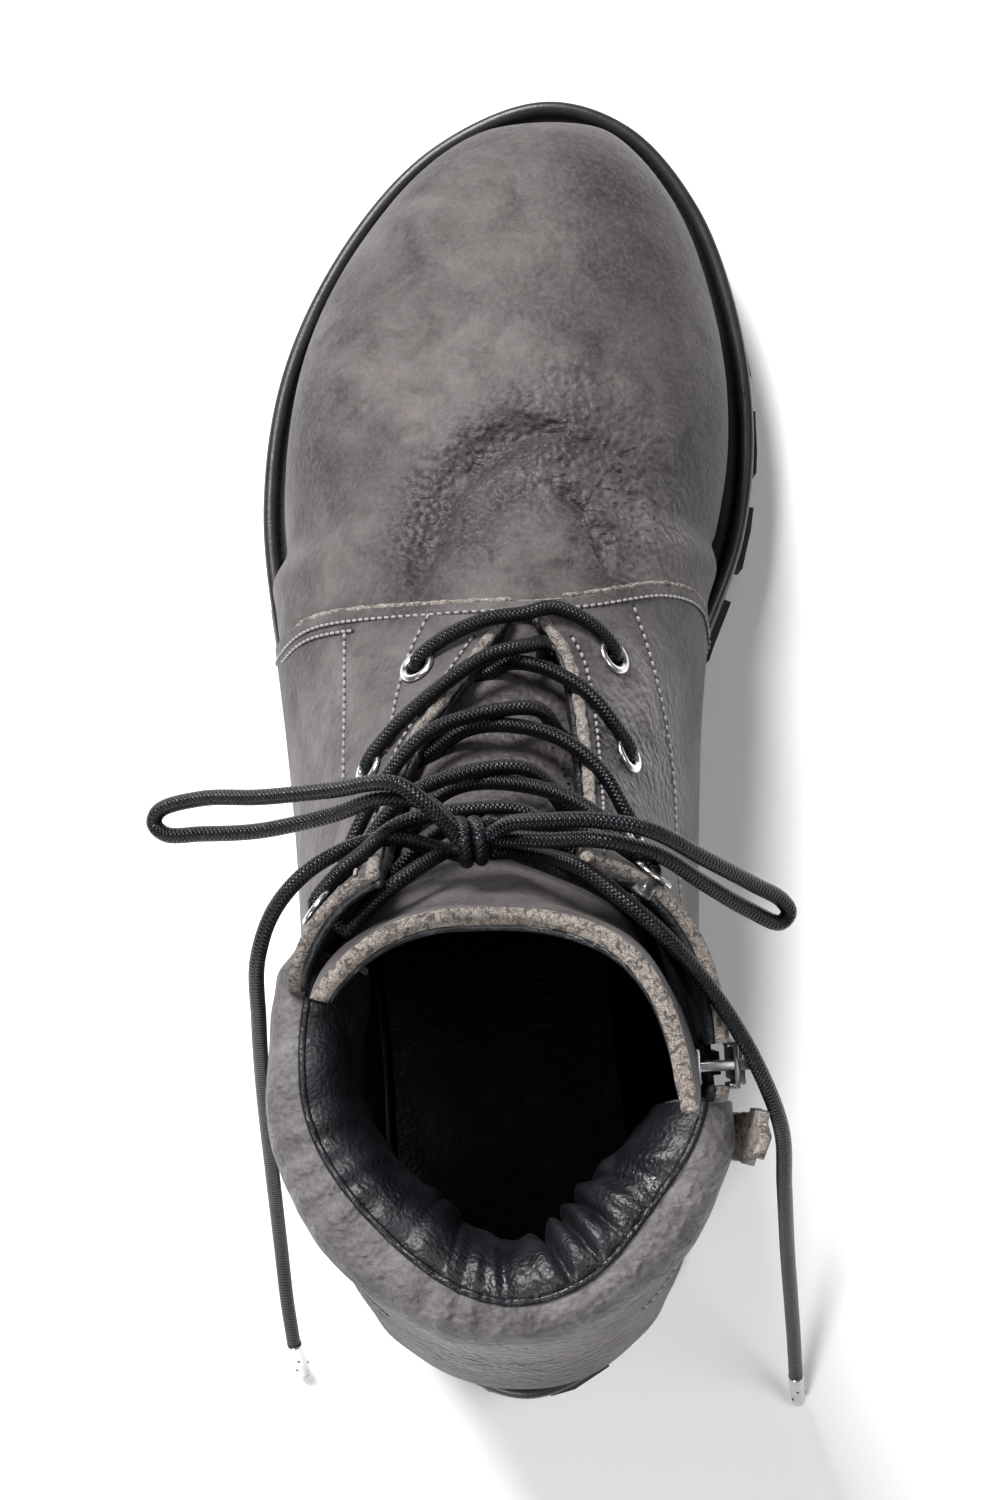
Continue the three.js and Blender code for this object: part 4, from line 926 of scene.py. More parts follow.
# Upper: dense forms, creased along given lines, then cut
def stroke(points, line, width):
    """How near points of the photograph lie to a given line: 1 on it, fading over a width."""
    line = np.asarray(line, float)
    best = np.full(points.shape[:-1], 1e9)
    total = len(line) - 1
    for k in range(total):
        a, b = line[k], line[k + 1]
        span = b - a
        t = np.clip(((points - a) @ span) / (span @ span), 0, 1)
        gap = np.linalg.norm(points - a - t[..., None] * span, axis=-1)
        place = (k + t) / total
        taper = np.minimum(1, 4 * np.minimum(place, 1 - place) + 0.15)
        best = np.minimum(best, gap / np.maximum(taper, 0.15))
    return np.exp(-(best / width) ** 2)


# Creases seen from above: line in the photograph, width in its pixels, depth in millimetres
CREASES = [
    ([(414, 600), (426, 548), (442, 503), (474, 460), (516, 434), (566, 427)], 22, -3.8),
    ([(548, 484), (576, 504), (598, 535), (612, 578)], 10, -2.4),
    ([(500, 570), (528, 532), (565, 562)], 32, 1.5),
    ([(470, 520), (500, 481), (545, 464), (600, 472)], 5, -0.6),
    ([(482, 540), (512, 500), (550, 481), (608, 502)], 5, -0.6),
    ([(452, 528), (483, 487), (530, 452), (592, 448)], 5, -0.55),
    ([(604, 462), (632, 502), (642, 552)], 5.5, -0.7),
    ([(618, 448), (648, 490), (657, 540)], 5, -0.55), ([(586, 476), (615, 512), (630, 560)], 5, -0.6),
    ([(560, 440), (600, 446), (640, 462)], 6, -0.5), ([(445, 540), (462, 505), (490, 470)], 5, 0.5),
    ([(430, 470), (395, 500), (360, 520)], 11, -0.5),
    ([(380, 420), (350, 460), (330, 500)], 14, -0.5),
    ([(330, 545), (365, 560), (400, 590)], 8, -0.5),
    ([(690, 430), (668, 470), (655, 520)], 9, -0.5),
    ([(620, 380), (650, 420), (670, 470)], 16, 0.6),
    ([(500, 395), (455, 405), (405, 395)], 22, -0.6),
    ([(600, 330), (560, 345), (510, 340)], 26, 0.5),
    ([(345, 350), (330, 400), (315, 450)], 14, 0.4),
    ([(700, 330), (715, 380), (705, 430)], 12, -0.4),
    ([(615, 640), (640, 690), (645, 740)], 10, 0.5),
    ([(690, 660), (678, 740), (690, 820)], 9, -0.45),
    ([(330, 700), (318, 750), (330, 800)], 9, -0.5),
    ([(300, 690), (306, 730), (318, 770)], 7, -0.5),
    ([(360, 640), (365, 700), (352, 760)], 9, 0.4),
]
# Creases of the shaft and heel, where the photograph doesn't show them: line of y and z, width and depth in
# millimetres
BACK_CREASES = [
    ([(-20, 112), (-2, 100), (22, 86)], 4, -1.1), ([(-14, 104), (6, 88), (30, 70)], 3.4, -0.9),
    ([(-26, 96), (-12, 82), (8, 66)], 3.6, -0.8), ([(30, 112), (46, 98), (60, 78)], 5, -0.9),
    ([(62, 120), (74, 104), (92, 88)], 4.5, -0.8), ([(84, 92), (98, 80), (116, 66)], 4, -0.7),
    ([(10, 60), (30, 52), (52, 50)], 5, 0.7), ([(-24, 70), (-20, 56), (-8, 46)], 4, 0.5),
]
PUCKER_PITCH = 5.4


def relief(points, normals):
    """Creases, puckers at the feather line and slow waves, as a height over the form."""
    seen = in_photo(points)
    facing = smooth(normals @ camera_back, 0.05, 0.4)
    height = np.zeros(points.shape[:-1])
    for line, width, depth in CREASES:
        near = stroke(seen, line, width)
        if depth < 0:
            near = near - 0.45 * stroke(seen, line, 2.1 * width)
        height += 1.5 * facing * depth * near
    flat = points[..., 1:]
    for line, width, depth in BACK_CREASES:
        near = stroke(flat, line, width) - 0.4 * stroke(flat, line, 2 * width)
        height += 1.5 * (1 - facing) * depth * near
    rise = points[..., 2] - seat(points[..., 1])
    turn = np.arctan2(points[..., 0] / 45, (points[..., 1] - 100) / 140)
    reach = np.hypot(points[..., 0] / 45, (points[..., 1] - 100) / 140)
    place = turn * 95 * reach
    ripple = 0.5 + 0.5 * np.cos(2 * math.pi * place / PUCKER_PITCH + 1.3 * np.sin(place / 17))
    height -= 0.55 * ripple * np.exp(-((rise - 5) / 5.5) ** 2) * smooth(points[..., 1], -60, 10)
    x, y, z = points[..., 0], points[..., 1], points[..., 2]
    height -= 1.9 * smooth(-y, -25, 5) * smooth(z, 34, 48) * smooth(-z, -108, -84)
    waves = np.sin(y / 13 + x / 21) * np.sin(z / 11 + x / 17)
    return height + 0.22 * waves


def form_solid(name, offset, rows, columns, look, shaped=True):
    """A closed, dense solid of the form."""
    angles = full_turn(columns)
    row_grid, angle_grid = np.meshgrid(rows, angles, indexing="ij")
    base = bare_form(row_grid, angle_grid)
    normals = form_normal(row_grid, angle_grid)
    height = np.full(base.shape[:-1], float(offset))
    if shaped:
        height = height + relief(base, normals)
    loops = base + height[..., None] * normals
    if offset < 0 and rows[-1] > 20:
        loops = np.concatenate([loops, loops[-1:] + np.array([0, 0, 6])])
    return loft_piece(name, loops, [look])


def side_prism(name, corners, low_x, high_x, look):
    """A prism across the boot from a side outline of (y, z) corners."""
    count = len(corners)
    points = [(x, y, z) for x in (low_x, high_x) for y, z in corners]
    faces = [list(range(count)), [count + k for k in reversed(range(count))]]
    for k in range(count):
        following = (k + 1) % count
        faces.append([k, following, count + following, count + k])
    return turned_out(mesh_piece(name, points, faces, [look]))


def shape_slab(name, rows, columns, place, looks):
    """A slab from place(u, v, side) on a grid; side is 1 outside and 0 inside."""
    u, v = np.meshgrid(np.linspace(0, 1, rows), np.linspace(0, 1, columns), indexing="ij")
    return slab_piece(name, place(u, v, 1), place(u, v, 0), looks)


def below_seat(look, margin=0.3):
    def place(u, v, side):
        y = lerp(-90, 290, u)
        return np.stack([lerp(-90, 90, v), y, seat(y) + margin if side else np.full(y.shape, -60.0)], -1)
    return shape_slab("below_seat", 150, 2, place, [look])


def throat_cutter(look, inset=0.0):
    wobble = 0.25

    def place(u, v, side):
        row = lerp(THROAT_ROW, LAST_ROW, u)
        outer = facing_edge(row[:, :1], OUTER, inset + wobble * np.sin(row[:, :1] * 9))
        inner = facing_edge(row[:, :1], INNER, inset + wobble * np.sin(row[:, :1] * 8 + 1))
        return form(row, lerp(outer, inner, v), np.full(row.shape, 9.0 if side else -10.0))
    return shape_slab("throat_cutter", 90, 12, place, [look])


def smooth_line(corners, steps=60):
    return catmull(corners, steps).tolist()


OUTER_FRONT = [(130, -10), (132, 48), (134, 68), (130, 98)]
INNER_FRONT = [(126, -10), (131, 38), (138, 52), (138, 72), (130, 98)]
PAD_BOTTOM = COLLAR_HEIGHT - PAD_HEIGHT / 2
OUTER_TOP = [(42, PAD_BOTTOM), (44, 150), (47, 158), (60, 167), (66, 171), (90, 171)]
INNER_TOP = [(20, PAD_BOTTOM), (22, 152), (35, 158), (60, 167), (66, 171), (90, 171)]
SPLIT_X = 4
QUARTER_BACK = -1.2


def zip_place(z):
    return lerp(38, 27, (z - ZIP_BOTTOM) / ZIP_LENGTH)


def zip_angle(z):
    """Angle of the zip's line at a height, on the inner side."""
    z = np.asarray(z, float)
    low, high = math.radians(40), math.radians(140)
    return solve(-zip_place(z), low, high, lambda a: -bare_form(row_at_height(a, z), a)[..., 1])


def beside_zip(z, across, offset):
    """Point beside the zip's line; across runs along the surface towards the toe."""
    z, across = np.broadcast_arrays(np.asarray(z, float), np.asarray(across, float))
    heights = np.linspace(ZIP_BOTTOM - 6, ZIP_TOP + 14, 60)
    angles = zip_angle(heights)
    ahead, behind = shaft_point(angles + 0.05, heights), shaft_point(angles - 0.05, heights)
    spread = np.linalg.norm(ahead - behind, axis=-1) / 0.1
    angle = np.interp(z, heights, angles)
    return shaft_point(angle - across / np.interp(z, heights, spread), z, offset)


def zip_cutter(width, look, low=ZIP_BOTTOM - 1, high=ZIP_TOP + 12):
    def place(u, v, side):
        return beside_zip(lerp(low, high, u), lerp(-width / 2, width / 2, v), 9.0 if side else -9.0)
    return shape_slab("zip_cutter", 60, 3, place, [look])


def eyelet_place(row, sign):
    angle = facing_edge(row, sign, EYELET_INSET)
    base = form(row, angle, OVERLAY + 0.2)
    return base, unit(form(row, angle, OVERLAY + 1.2) - base), float(angle)


eyelets = {sign: [(float(row), *eyelet_place(float(row), sign)) for row in eyelet_rows(sign)]
           for sign in (OUTER, INNER)}


def holes(radius, look):
    """Cylinders through every eyelet's place, as one cutter."""
    made = []
    for sign in (OUTER, INNER):
        for _, base, out, _ in eyelets[sign]:
            ends = np.array([base - out * 9, base + out * 5])
            made.append(tube_piece("hole", ends, radius, look, 24, False))
    return joined("holes", made)


def cut_common(piece, edge_look, top=True):
    """The cuts that every layer of the upper shares."""
    cut(piece, below_seat(edge_look))
    if top:
        rest = [(90, 260), (-80, 260)]
        start = [(-80, PAD_BOTTOM)]
        cut(piece, side_prism("above", start + smooth_line(OUTER_TOP, 40) + rest, -90, SPLIT_X, edge_look))
        cut(piece, side_prism("above", start + smooth_line(INNER_TOP, 40) + rest, SPLIT_X, 90, edge_look))
        cut(piece, zip_cutter(ZIP_WIDTH - 3, edge_look))
    return piece


def front_prisms(piece, shift, look, keep_rear):
    """Cut away what lies in front of the quarters' edge, or behind it."""
    for line, low, high in ((OUTER_FRONT, -90, SPLIT_X), (INNER_FRONT, SPLIT_X, 90)):
        curve = [(y + shift, z) for y, z in smooth_line(line)]
        far = 300 if keep_rear else -80
        corners = curve + [(curve[-1][0], 220), (far, 220), (far, -10)]
        cut(piece, side_prism("front", corners, low, high, look))
    return piece


QUARTER_START = 10.6
HOLLOW_START = 10.3
TOP_ROW = 21.99
EYELET_HOLE = 2.6
toe_rows = np.concatenate([np.linspace(0.02, 6, 70, endpoint=False), np.linspace(6, 13.4, 120)])
vamp = form_solid("vamp", 0, toe_rows, 260, nubuck)
cut(vamp, form_solid("hollow", -WALL - 2.6, np.linspace(1.5, 13.6, 50), 90, raw_edge, False))
front_prisms(vamp, -6, raw_edge, False)
cut(vamp, below_seat(raw_edge))
cut(vamp, throat_cutter(raw_edge))

quarter_rows = np.linspace(QUARTER_START, TOP_ROW, 250)
quarters = form_solid("quarters", OVERLAY, quarter_rows, 260, nubuck)
hollow_rows = np.linspace(HOLLOW_START, TOP_ROW, 80)
cut(quarters, form_solid("hollow", QUARTER_BACK, hollow_rows, 110, raw_edge, False))
front_prisms(quarters, 0, raw_edge, True)
cut_common(quarters, raw_edge)
cut(quarters, throat_cutter(raw_edge))
cut(quarters, holes(EYELET_HOLE, raw_edge))

lining_rows = np.linspace(QUARTER_START, TOP_ROW, 90)
shaft_lining = form_solid("shaft_lining", QUARTER_BACK - 0.05, lining_rows, 140, lining, False)
cut(shaft_lining, form_solid("hollow", -WALL, np.linspace(HOLLOW_START, TOP_ROW, 70), 110, lining, False))
front_prisms(shaft_lining, -1, lining, True)
cut_common(shaft_lining, lining)
cut(shaft_lining, throat_cutter(lining, -0.7))
cut(shaft_lining, holes(EYELET_HOLE, lining))

dressed(vamp, "nubuck", "upper")
dressed(quarters, "nubuck", "upper")
dressed(shaft_lining, "insole_leather")


# Stitches: short threads laid on a piece, along a line
def met_line(tree, rays, spacing):
    """Places and normals where rays, each a start and a direction, meet a surface."""
    places, normals = [], []
    for start, direction in rays:
        hit, normal, _, _ = tree.ray_cast(Vector(start), Vector(direction))
        if hit is not None:
            places.append(hit)
            normals.append(normal)
    if len(places) < 3:
        return np.zeros((0, 3)), np.zeros((0, 3))
    return spaced(np.array(places), np.array(normals), spacing)


def pictured_line(tree, line, spacing):
    """A line drawn in the photograph, on a surface."""
    return met_line(tree, [(camera_eye, sight(*spot)) for spot in catmull(line, 60)], spacing)


def sideways_line(tree, line, sign, spacing):
    """A line of (y, z) points on a surface, seen from one side."""
    return met_line(tree, [((sign * 120, y, z), (-sign, 0, 0)) for y, z in catmull(line, 80)], spacing)


LONGEST_STEP = 7


def spaced(places, normals, spacing):
    """Places an equal distance apart on the longest unbroken stretch of a line."""
    steps = np.linalg.norm(np.diff(places, axis=0), axis=1)
    breaks = [0, *(np.nonzero(steps > LONGEST_STEP)[0] + 1), len(places)]
    start, end = max(zip(breaks[:-1], breaks[1:]), key=lambda span: span[1] - span[0])
    places, normals = places[start:end], normals[start:end]
    if len(places) < 3:
        return places[:0], normals[:0]
    travelled = travel(places)
    count = max(2, int(travelled[-1] / spacing))
    wanted = np.linspace(0, travelled[-1], count + 1)
    moved = np.stack([np.interp(wanted, travelled, places[:, k]) for k in range(3)], -1)
    turned = np.stack([np.interp(wanted, travelled, normals[:, k]) for k in range(3)], -1)
    return moved, unit(turned)


STITCH = 2.0
STITCH_GAP = 0.62
THREAD = 0.36


def stitch_row(places, normals, length=STITCH_GAP, radius=THREAD, lift=0.12):
    """Points and faces of one row of stitches, each a flattened thread that dips at both ends."""
    points, faces = [], []
    sides = 6
    shares = np.array([0.0, 0.12, 0.5, 0.88, 1.0])
    widths = np.array([0.35, 0.9, 1.0, 0.9, 0.35])
    heights = np.array([-0.45, 0.1, 0.3, 0.1, -0.45])
    turn = full_turn(sides)
    for a, b, normal in zip(places[:-1], places[1:], normals[:-1]):
        span = b - a
        along = unit(span)
        side = np.cross(normal, along)
        middle = a + span * 0.5
        reach = span * length
        start = len(points)
        for share, width, height in zip(shares, widths, heights):
            center = middle + reach * (share - 0.5) + normal * (lift + height * radius)
            for t in turn:
                round_it = side * math.cos(t) * radius * width + normal * math.sin(t) * radius * width
                points.append(center + round_it)
        faces += [[start + k for k in face] for face in grid_faces(len(shares), sides, wrap=True)]
        last = start + (len(shares) - 1) * sides
        faces.append([start + k for k in range(sides)][::-1])
        faces.append([last + k for k in range(sides)])
    return points, faces


def stitches(name, rows):
    """Rows of thread with the pinholes that it goes through."""
    points, faces, kinds = [], [], []
    for places, normals in rows:
        if len(places) < 2:
            continue
        made, quads = stitch_row(places, normals)
        start = len(points)
        points += made
        faces += [[start + k for k in face] for face in quads]
        kinds += [0] * len(quads)
        # Each stitch hole is a near-black plug: painted shade.
        for place, normal in zip(places, normals):
            side = unit(np.cross(normal, (0.3, 0.9, 0.31)))
            up = np.cross(normal, side)
            start = len(points)
            for height, width in ((-0.3, 0.4), (0.04, 0.46), (0.12, 0.3)):
                for t in full_turn(6):
                    points.append(place + normal * height + (side * math.cos(t) + up * math.sin(t)) * width)
            hole = grid_faces(3, 6, wrap=True) + [list(range(6))[::-1], list(range(12, 18))]
            faces += [[start + k for k in face] for face in hole]
            kinds += [1] * len(hole)
    dressed(turned_out(mesh_piece(name, points, faces, [thread, hole_shade], kinds)), "nubuck")


upper_tree = bvh_of(quarters, vamp)


def front_line(angles, shift, offset):
    """The quarters' front edge, or a line a shift behind it, as places and normals."""
    outer = np.array(smooth_line(OUTER_FRONT))
    inner = np.array(smooth_line(INNER_FRONT))

    def ahead(rows):
        point = bare_form(rows, angles)
        edge = np.where(point[..., 0] > SPLIT_X, np.interp(point[..., 2], inner[:, 1], inner[:, 0]),
                        np.interp(point[..., 2], outer[:, 1], outer[:, 0]))
        return edge - shift - point[..., 1]
    rows = solve(np.zeros(angles.shape), QUARTER_START, 13.5, ahead)
    return form(rows, angles, np.full(rows.shape, offset)), form_normal(rows, angles)


ROW_BEHIND = 3.0
SECOND_ROW = 5.2
SEAM_HEIGHT = OVERLAY + 0.12
outer_angles = np.radians(np.linspace(-104, -4, 200))
inner_angles = np.radians(np.linspace(13, 100, 200))
seam_rows = [spaced(*front_line(outer_angles, ROW_BEHIND, SEAM_HEIGHT), STITCH),
             spaced(*front_line(inner_angles, ROW_BEHIND, SEAM_HEIGHT), STITCH),
             spaced(*front_line(outer_angles[60:125], SECOND_ROW, SEAM_HEIGHT), STITCH)]
# Rows that run along the boot, drawn over the photograph
PICTURED_ROWS = [
    [(633, 606), (647, 647), (663, 710), (673, 777), (677, 860), (684, 940)],
    [(345, 632), (345, 700), (344, 780)],
    [(430, 613), (410, 653), (397, 697), (387, 753)],
]
seam_rows += [pictured_line(upper_tree, line, STITCH) for line in PICTURED_ROWS]
for sign in (INNER, OUTER):
    row = np.linspace(THROAT_ROW + 0.5, 21.3, 140)
    angle = facing_edge(row, sign, 3.2)
    along_edge = form(row, angle, np.full(row.shape, SEAM_HEIGHT))
    seam_rows.append(spaced(along_edge, form_normal(row, angle), STITCH))
    for shift in (0, 2.4):
        heel_cup = [(62 - shift, 40), (50 - shift, 62), (26, 78 - shift), (0, 88 - shift), (-18, 90 - shift)]
        seam_rows.append(sideways_line(upper_tree, heel_cup, sign, STITCH))


def raw_bead(name, places, radius, look=raw_edge):
    """A cut edge of leather, a little uneven."""
    travelled = np.linspace(0, 1, len(places))
    wobble = 1 + 0.1 * np.sin(travelled * 83) + 0.08 * np.sin(travelled * 191 + 1)
    return tube_piece(name, places, radius * wobble, look, sides=10)


edges = []
for angles in (outer_angles, inner_angles):
    edges.append(raw_bead("bead", resample(front_line(angles, 0.15, OVERLAY - 0.5)[0], 260), 0.62))
facing_linings = []
for sign in (OUTER, INNER):
    row = np.linspace(THROAT_ROW + 0.08, 21.9, 160)
    flare = 0.5 + 0.9 * np.sin(np.linspace(0, math.pi, 160)) ** 2
    path = form(row, facing_edge(row, sign, 0.1), OVERLAY - 1.1 + 0.5 * flare)
    edges.append(raw_bead("bead", resample(path, 300), 1.25))
    path = form(row, facing_edge(row, sign, -0.1), -1.9 + 0.3 * flare)
    facing_linings.append(raw_bead("bead", resample(path, 200), 0.85, lining))
dressed(joined("cut_edges", edges), "nubuck")
dressed(joined("facing_lining_edges", facing_linings), "insole_leather")
stitches("upper_stitches", seam_rows)


# Collar: a padded nubuck roll, and the gathered black lining inside it
PAD_START = math.radians(-58)
PAD_END = float(zip_angle(np.array([PAD_BOTTOM]))[0]) + 0.16 - 2 * math.pi
PAD_STEPS = 230
PAD_SIDES = 56


def pad_point(angle, turn, swell=0.0):
    """A point of the roll: turn 0 faces outwards, a quarter turn is its top."""
    def round_off(value):
        return np.sign(value) * np.abs(value) ** 0.86
    high = round_off(np.sin(turn)) * (PAD_HEIGHT / 2 + swell)
    lean = 0.16 * high
    share = (angle - PAD_START) / (PAD_END - PAD_START)
    bulge = 7 * np.exp(-((share - 0.38) / 0.17) ** 2) + 5.5 * np.exp(-((share - 0.84) / 0.11) ** 2)
    offset = -WALL - 0.6 + lean + round_off(np.cos(turn)) * (PAD_THICKNESS / 2 + swell)
    offset = offset - bulge * (1 - np.cos(turn)) / 2
    return shaft_point(angle, PAD_BOTTOM + high, offset)


def pad_waves(angle, turn):
    """Soft puckers of the roll, fading out and drawn in at its ends."""
    share = (angle - PAD_START) / (PAD_END - PAD_START)
    fine = np.sin(share * 128 + 2.2 * np.sin(share * 23) + 1.4 * turn)
    slow = np.sin(share * 31 + 1.1) * np.sin(turn * 1.5 + share * 9)
    ends = smooth(share, 0, 0.05) * smooth(1 - share, 0, 0.05)
    return ends * (0.42 * fine * np.abs(np.sin(turn)) ** 2 + 0.45 * slow) - 1.6 * (1 - ends)


pad_angles = np.linspace(PAD_START, PAD_END, PAD_STEPS)[:, None]
pad_turns = full_turn(PAD_SIDES)[None, :]
pad_loops = pad_point(*np.broadcast_arrays(pad_angles, pad_turns), pad_waves(pad_angles, pad_turns))
collar = loft_piece("collar_roll", pad_loops, [collar_nubuck])
dressed(collar, "nubuck", "collar_pad")

# The lining starts at the seam on the roll's top and runs down inside
SEAM_TURN = 1.75
LINING_END = 4.1


def lining_height(angle, turn):
    share = (angle - PAD_START) / (PAD_END - PAD_START)
    down = (turn - SEAM_TURN) / (LINING_END - SEAM_TURN)
    back = np.exp(-((share - 0.68) / 0.2) ** 2)
    folds = np.abs(np.sin(share * 34 + 2.2 * np.sin(share * 17) + 1.3 * down)) ** 0.55
    wrinkle = np.sin(share * 90 + 3 * np.sin(down * 6))
    puff = np.sin(math.pi * np.clip(down, 0, 1)) ** 0.6
    return 0.15 + puff * (1.2 + back * (5.2 * folds - 0.6)) + 0.2 * wrinkle * puff


lining_angles = np.linspace(PAD_START - 0.02, PAD_END + 0.02, 260)[:, None]
lining_turns = np.linspace(SEAM_TURN, LINING_END, 44)[None, :]
a, t = np.broadcast_arrays(lining_angles, lining_turns)
base_waves = pad_waves(a, t)
collar_lining = slab_piece("collar_lining", pad_point(a, t, base_waves + lining_height(a, t)),
                           pad_point(a, t, base_waves - 0.6), [lining])
dressed(collar_lining, "insole_leather")

# Piping at the seam between them
seam_angle = np.linspace(PAD_START - 0.02, PAD_END + 0.02, 300)
seam_turn = np.full(seam_angle.shape, SEAM_TURN)
seam_path = pad_point(seam_angle, seam_turn, pad_waves(seam_angle, seam_turn) + 0.25)
seam_cord = tube_piece("collar_seam", seam_path, 0.75, lining, sides=10)
dressed(seam_cord, "insole_leather")


# Tongue
def tongue_place(u, v, side):
    at = u * (len(TONGUE_TABLE) - 1)
    row = np.minimum(spline(TONGUE_TABLE, 0, at), LAST_ROW)
    zero = np.zeros(row.shape)
    outer = angle_from(row[:, 0], zero[:, 0], -spline(TONGUE_TABLE, 1, at)[:, 0])[:, None]
    inner = angle_from(row[:, 0], zero[:, 0], spline(TONGUE_TABLE, 2, at)[:, 0])[:, None]
    angle = lerp(outer, inner, v)
    bow = 1 - 0.8 * (2 * v - 1) ** 2
    press = 1.6 * smooth(u, 0.05, 0.25) * (1 - (2 * v - 1) ** 2)
    outside = -WALL - 0.9 - spline(TONGUE_TABLE, 3, at) * bow - press * (1 - smooth(u, 0.8, 1))
    waves = 0.35 * np.sin(u * 46 + 2 * np.sin(v * 7)) * np.sin(v * math.pi) + 0.3 * np.sin(v * 17 + u * 9)
    outside = outside + np.where(side, 1, 0.7) * waves
    point = form(row, angle, outside if side else outside - TONGUE)
    rim = 0.5 * np.sin(v * 23) * np.sin(v * 61) * smooth(u, 0.97, 1)
    crown = smooth(u, 0.85, 1) * (TONGUE_HEIGHT - SHAFT_HEIGHT) * (1 - (2 * v - 1) ** 2) + rim
    return point + crown[..., None] * np.array([0, 0, 1])


def tongue_lining_place(u, v, side):
    """The lining lies on the tongue's inside, from a little above its lower end."""
    at = 0.3 + 0.694 * u
    inward = -1.3 * form_normal(np.minimum(spline(TONGUE_TABLE, 0, at * 4), LAST_ROW), 0.0 * v)
    return tongue_place(at, 0.01 + 0.98 * v, 0) + (0.05 if side else 1) * inward


tongue = shape_slab("tongue_leather", 170, 110, tongue_place, [nubuck, raw_edge, lining])
dressed(tongue, "nubuck", "tongue")
dressed(shape_slab("tongue_lining", 120, 80, tongue_lining_place, [lining]), "insole_leather")


# Eyelets
# Section of an eyelet: radius and height
EYELET_PROFILE = [(2.3, -3.9), (2.75, -4.2), (2.9, -3.6), (2.9, 0.1), (4.05, 0.2), (4.2, 0.45),
                  (4.0, 0.85), (3.5, 1.1), (2.9, 1.05), (2.45, 0.7), (2.3, 0.1), (2.25, -1.8)]
RING_SIDES = 40
for sign, label in ((OUTER, "outer"), (INNER, "inner")):
    for k, (_, base, out, _) in enumerate(eyelets[sign]):
        along = unit(np.cross(out, (0.0, 0.0, 1.0)))
        across = np.cross(out, along)
        turn = full_turn(RING_SIDES)
        ring = along * np.cos(turn)[:, None] + across * np.sin(turn)[:, None]
        rings = np.array([base + ring * r + out * h for r, h in EYELET_PROFILE + EYELET_PROFILE[:1]])
        points = rings[:-1].reshape(-1, 3)
        count = len(EYELET_PROFILE)
        faces = ring_faces(count, RING_SIDES)
        piece = turned_out(mesh_piece(f"eyelet_ring_{label}_{k + 1}", points, faces, [nickel]))
        dressed(piece, "eyelet_metal", f"eyelet_{label}_{k + 1}")


# Lace through the eyelets: out from under one facing, over the other and down into its eyelet
def run(places):
    """Points of the form from (row, angle, offset) places."""
    return [form(np.array(row), np.array(angle), np.array(offset)) for row, angle, offset in places]


def crossing(k, sign, over):
    low_row, _, _, low_angle = eyelets[-sign][k]
    row, _, _, angle = eyelets[sign][k + 1]
    gap = row - low_row

    def edge(share, side, inset):
        return float(facing_edge(low_row + share * gap, side, inset))
    middle_angle = (edge(0.25, -sign, 0) + edge(0.25, sign, 0)) / 2
    places = [
        (low_row, low_angle, -5.2), (low_row + 0.04 * gap, edge(0.04, -sign, 5), -5.0),
        (low_row + 0.06 * gap, edge(0.06, -sign, -2.5), -4.2),
        (low_row + 0.1 * gap, lerp(edge(0.1, -sign, 0), middle_angle, 0.6), -1.6 + over),
        (low_row + 0.2 * gap, middle_angle, -0.2 + over),
        (low_row + 0.4 * gap, lerp(edge(0.35, sign, 0), middle_angle, 0.4), 1.4 + over),
        (low_row + 0.66 * gap, edge(0.66, sign, 1.0), 3.2),
        (low_row + 0.88 * gap, edge(0.88, sign, 7), 3.1),
        (row - 0.01 * gap, angle, 2.2), (row + 0.01 * gap, angle, -0.8), (row, angle, -4.6),
    ]
    return tube_piece("strand", catmull(run(places), 120), LACE / 2, lace_braid, sides=16)


outer_row, _, _, outer_angle = eyelets[OUTER][0]
inner_row, _, _, inner_angle = eyelets[INNER][0]
bar_places = [
    (outer_row, outer_angle, -4.5), (outer_row, outer_angle, -0.8), (outer_row - 0.03, outer_angle, 2.2),
    (outer_row - 0.22, 0.72 * outer_angle, 3.6), (outer_row - 0.42, 0.3 * outer_angle, 4.2),
    (outer_row - 0.46, 0, 4.4), (inner_row - 0.4, 0.3 * inner_angle, 4.2),
    (inner_row - 0.24, 0.72 * inner_angle, 3.6), (inner_row - 0.03, inner_angle, 2.2),
    (inner_row, inner_angle, -0.8), (inner_row, inner_angle, -4.5),
]
dressed(tube_piece("laced_bar", catmull(run(bar_places), 140), LACE / 2, lace_braid, sides=16),
        "lace_cotton", "lace_bar")
for k in range(EYELETS - 1):
    pair = [crossing(k, INNER, 0.0), crossing(k, OUTER, 2.9)]
    dressed(joined(f"laced_crossing_{k + 1}", pair), "lace_cotton", f"lace_crossing_{k + 1}")

# Knot: loops and ends drawn through it, and two wraps round them
knot_runs = []
for sign in (OUTER, INNER):
    row, _, _, angle = eyelets[sign][4]
    up_from = run([(row, angle, -5.4), (row + 0.05, float(facing_edge(row, sign, 3)), -5.2),
                   (row + 0.1, float(facing_edge(row, sign, -3)), -4.4)])
    knot_runs.append([*up_from, KNOT + (sign * 5.5, -1, -5.5), KNOT + (sign * 3, -0.5, -4.6),
                      KNOT + (sign * 0.8, 0.3, -4.2)])
knot_runs.append([LOOP_OUTER[0], KNOT + (-2.5, 0.9, 2.6), KNOT + (0, 1.6, 1.0), KNOT + (2.4, 1.2, -1.2),
                  KNOT + (3.6, -1.2, -3.2), END_INNER[0]])
knot_runs.append([LOOP_INNER[0], KNOT + (2.2, 0.2, 2.9), KNOT + (0, -1.4, 1.8), KNOT + (-2.2, -2.2, -0.8),
                  END_OUTER[0]])
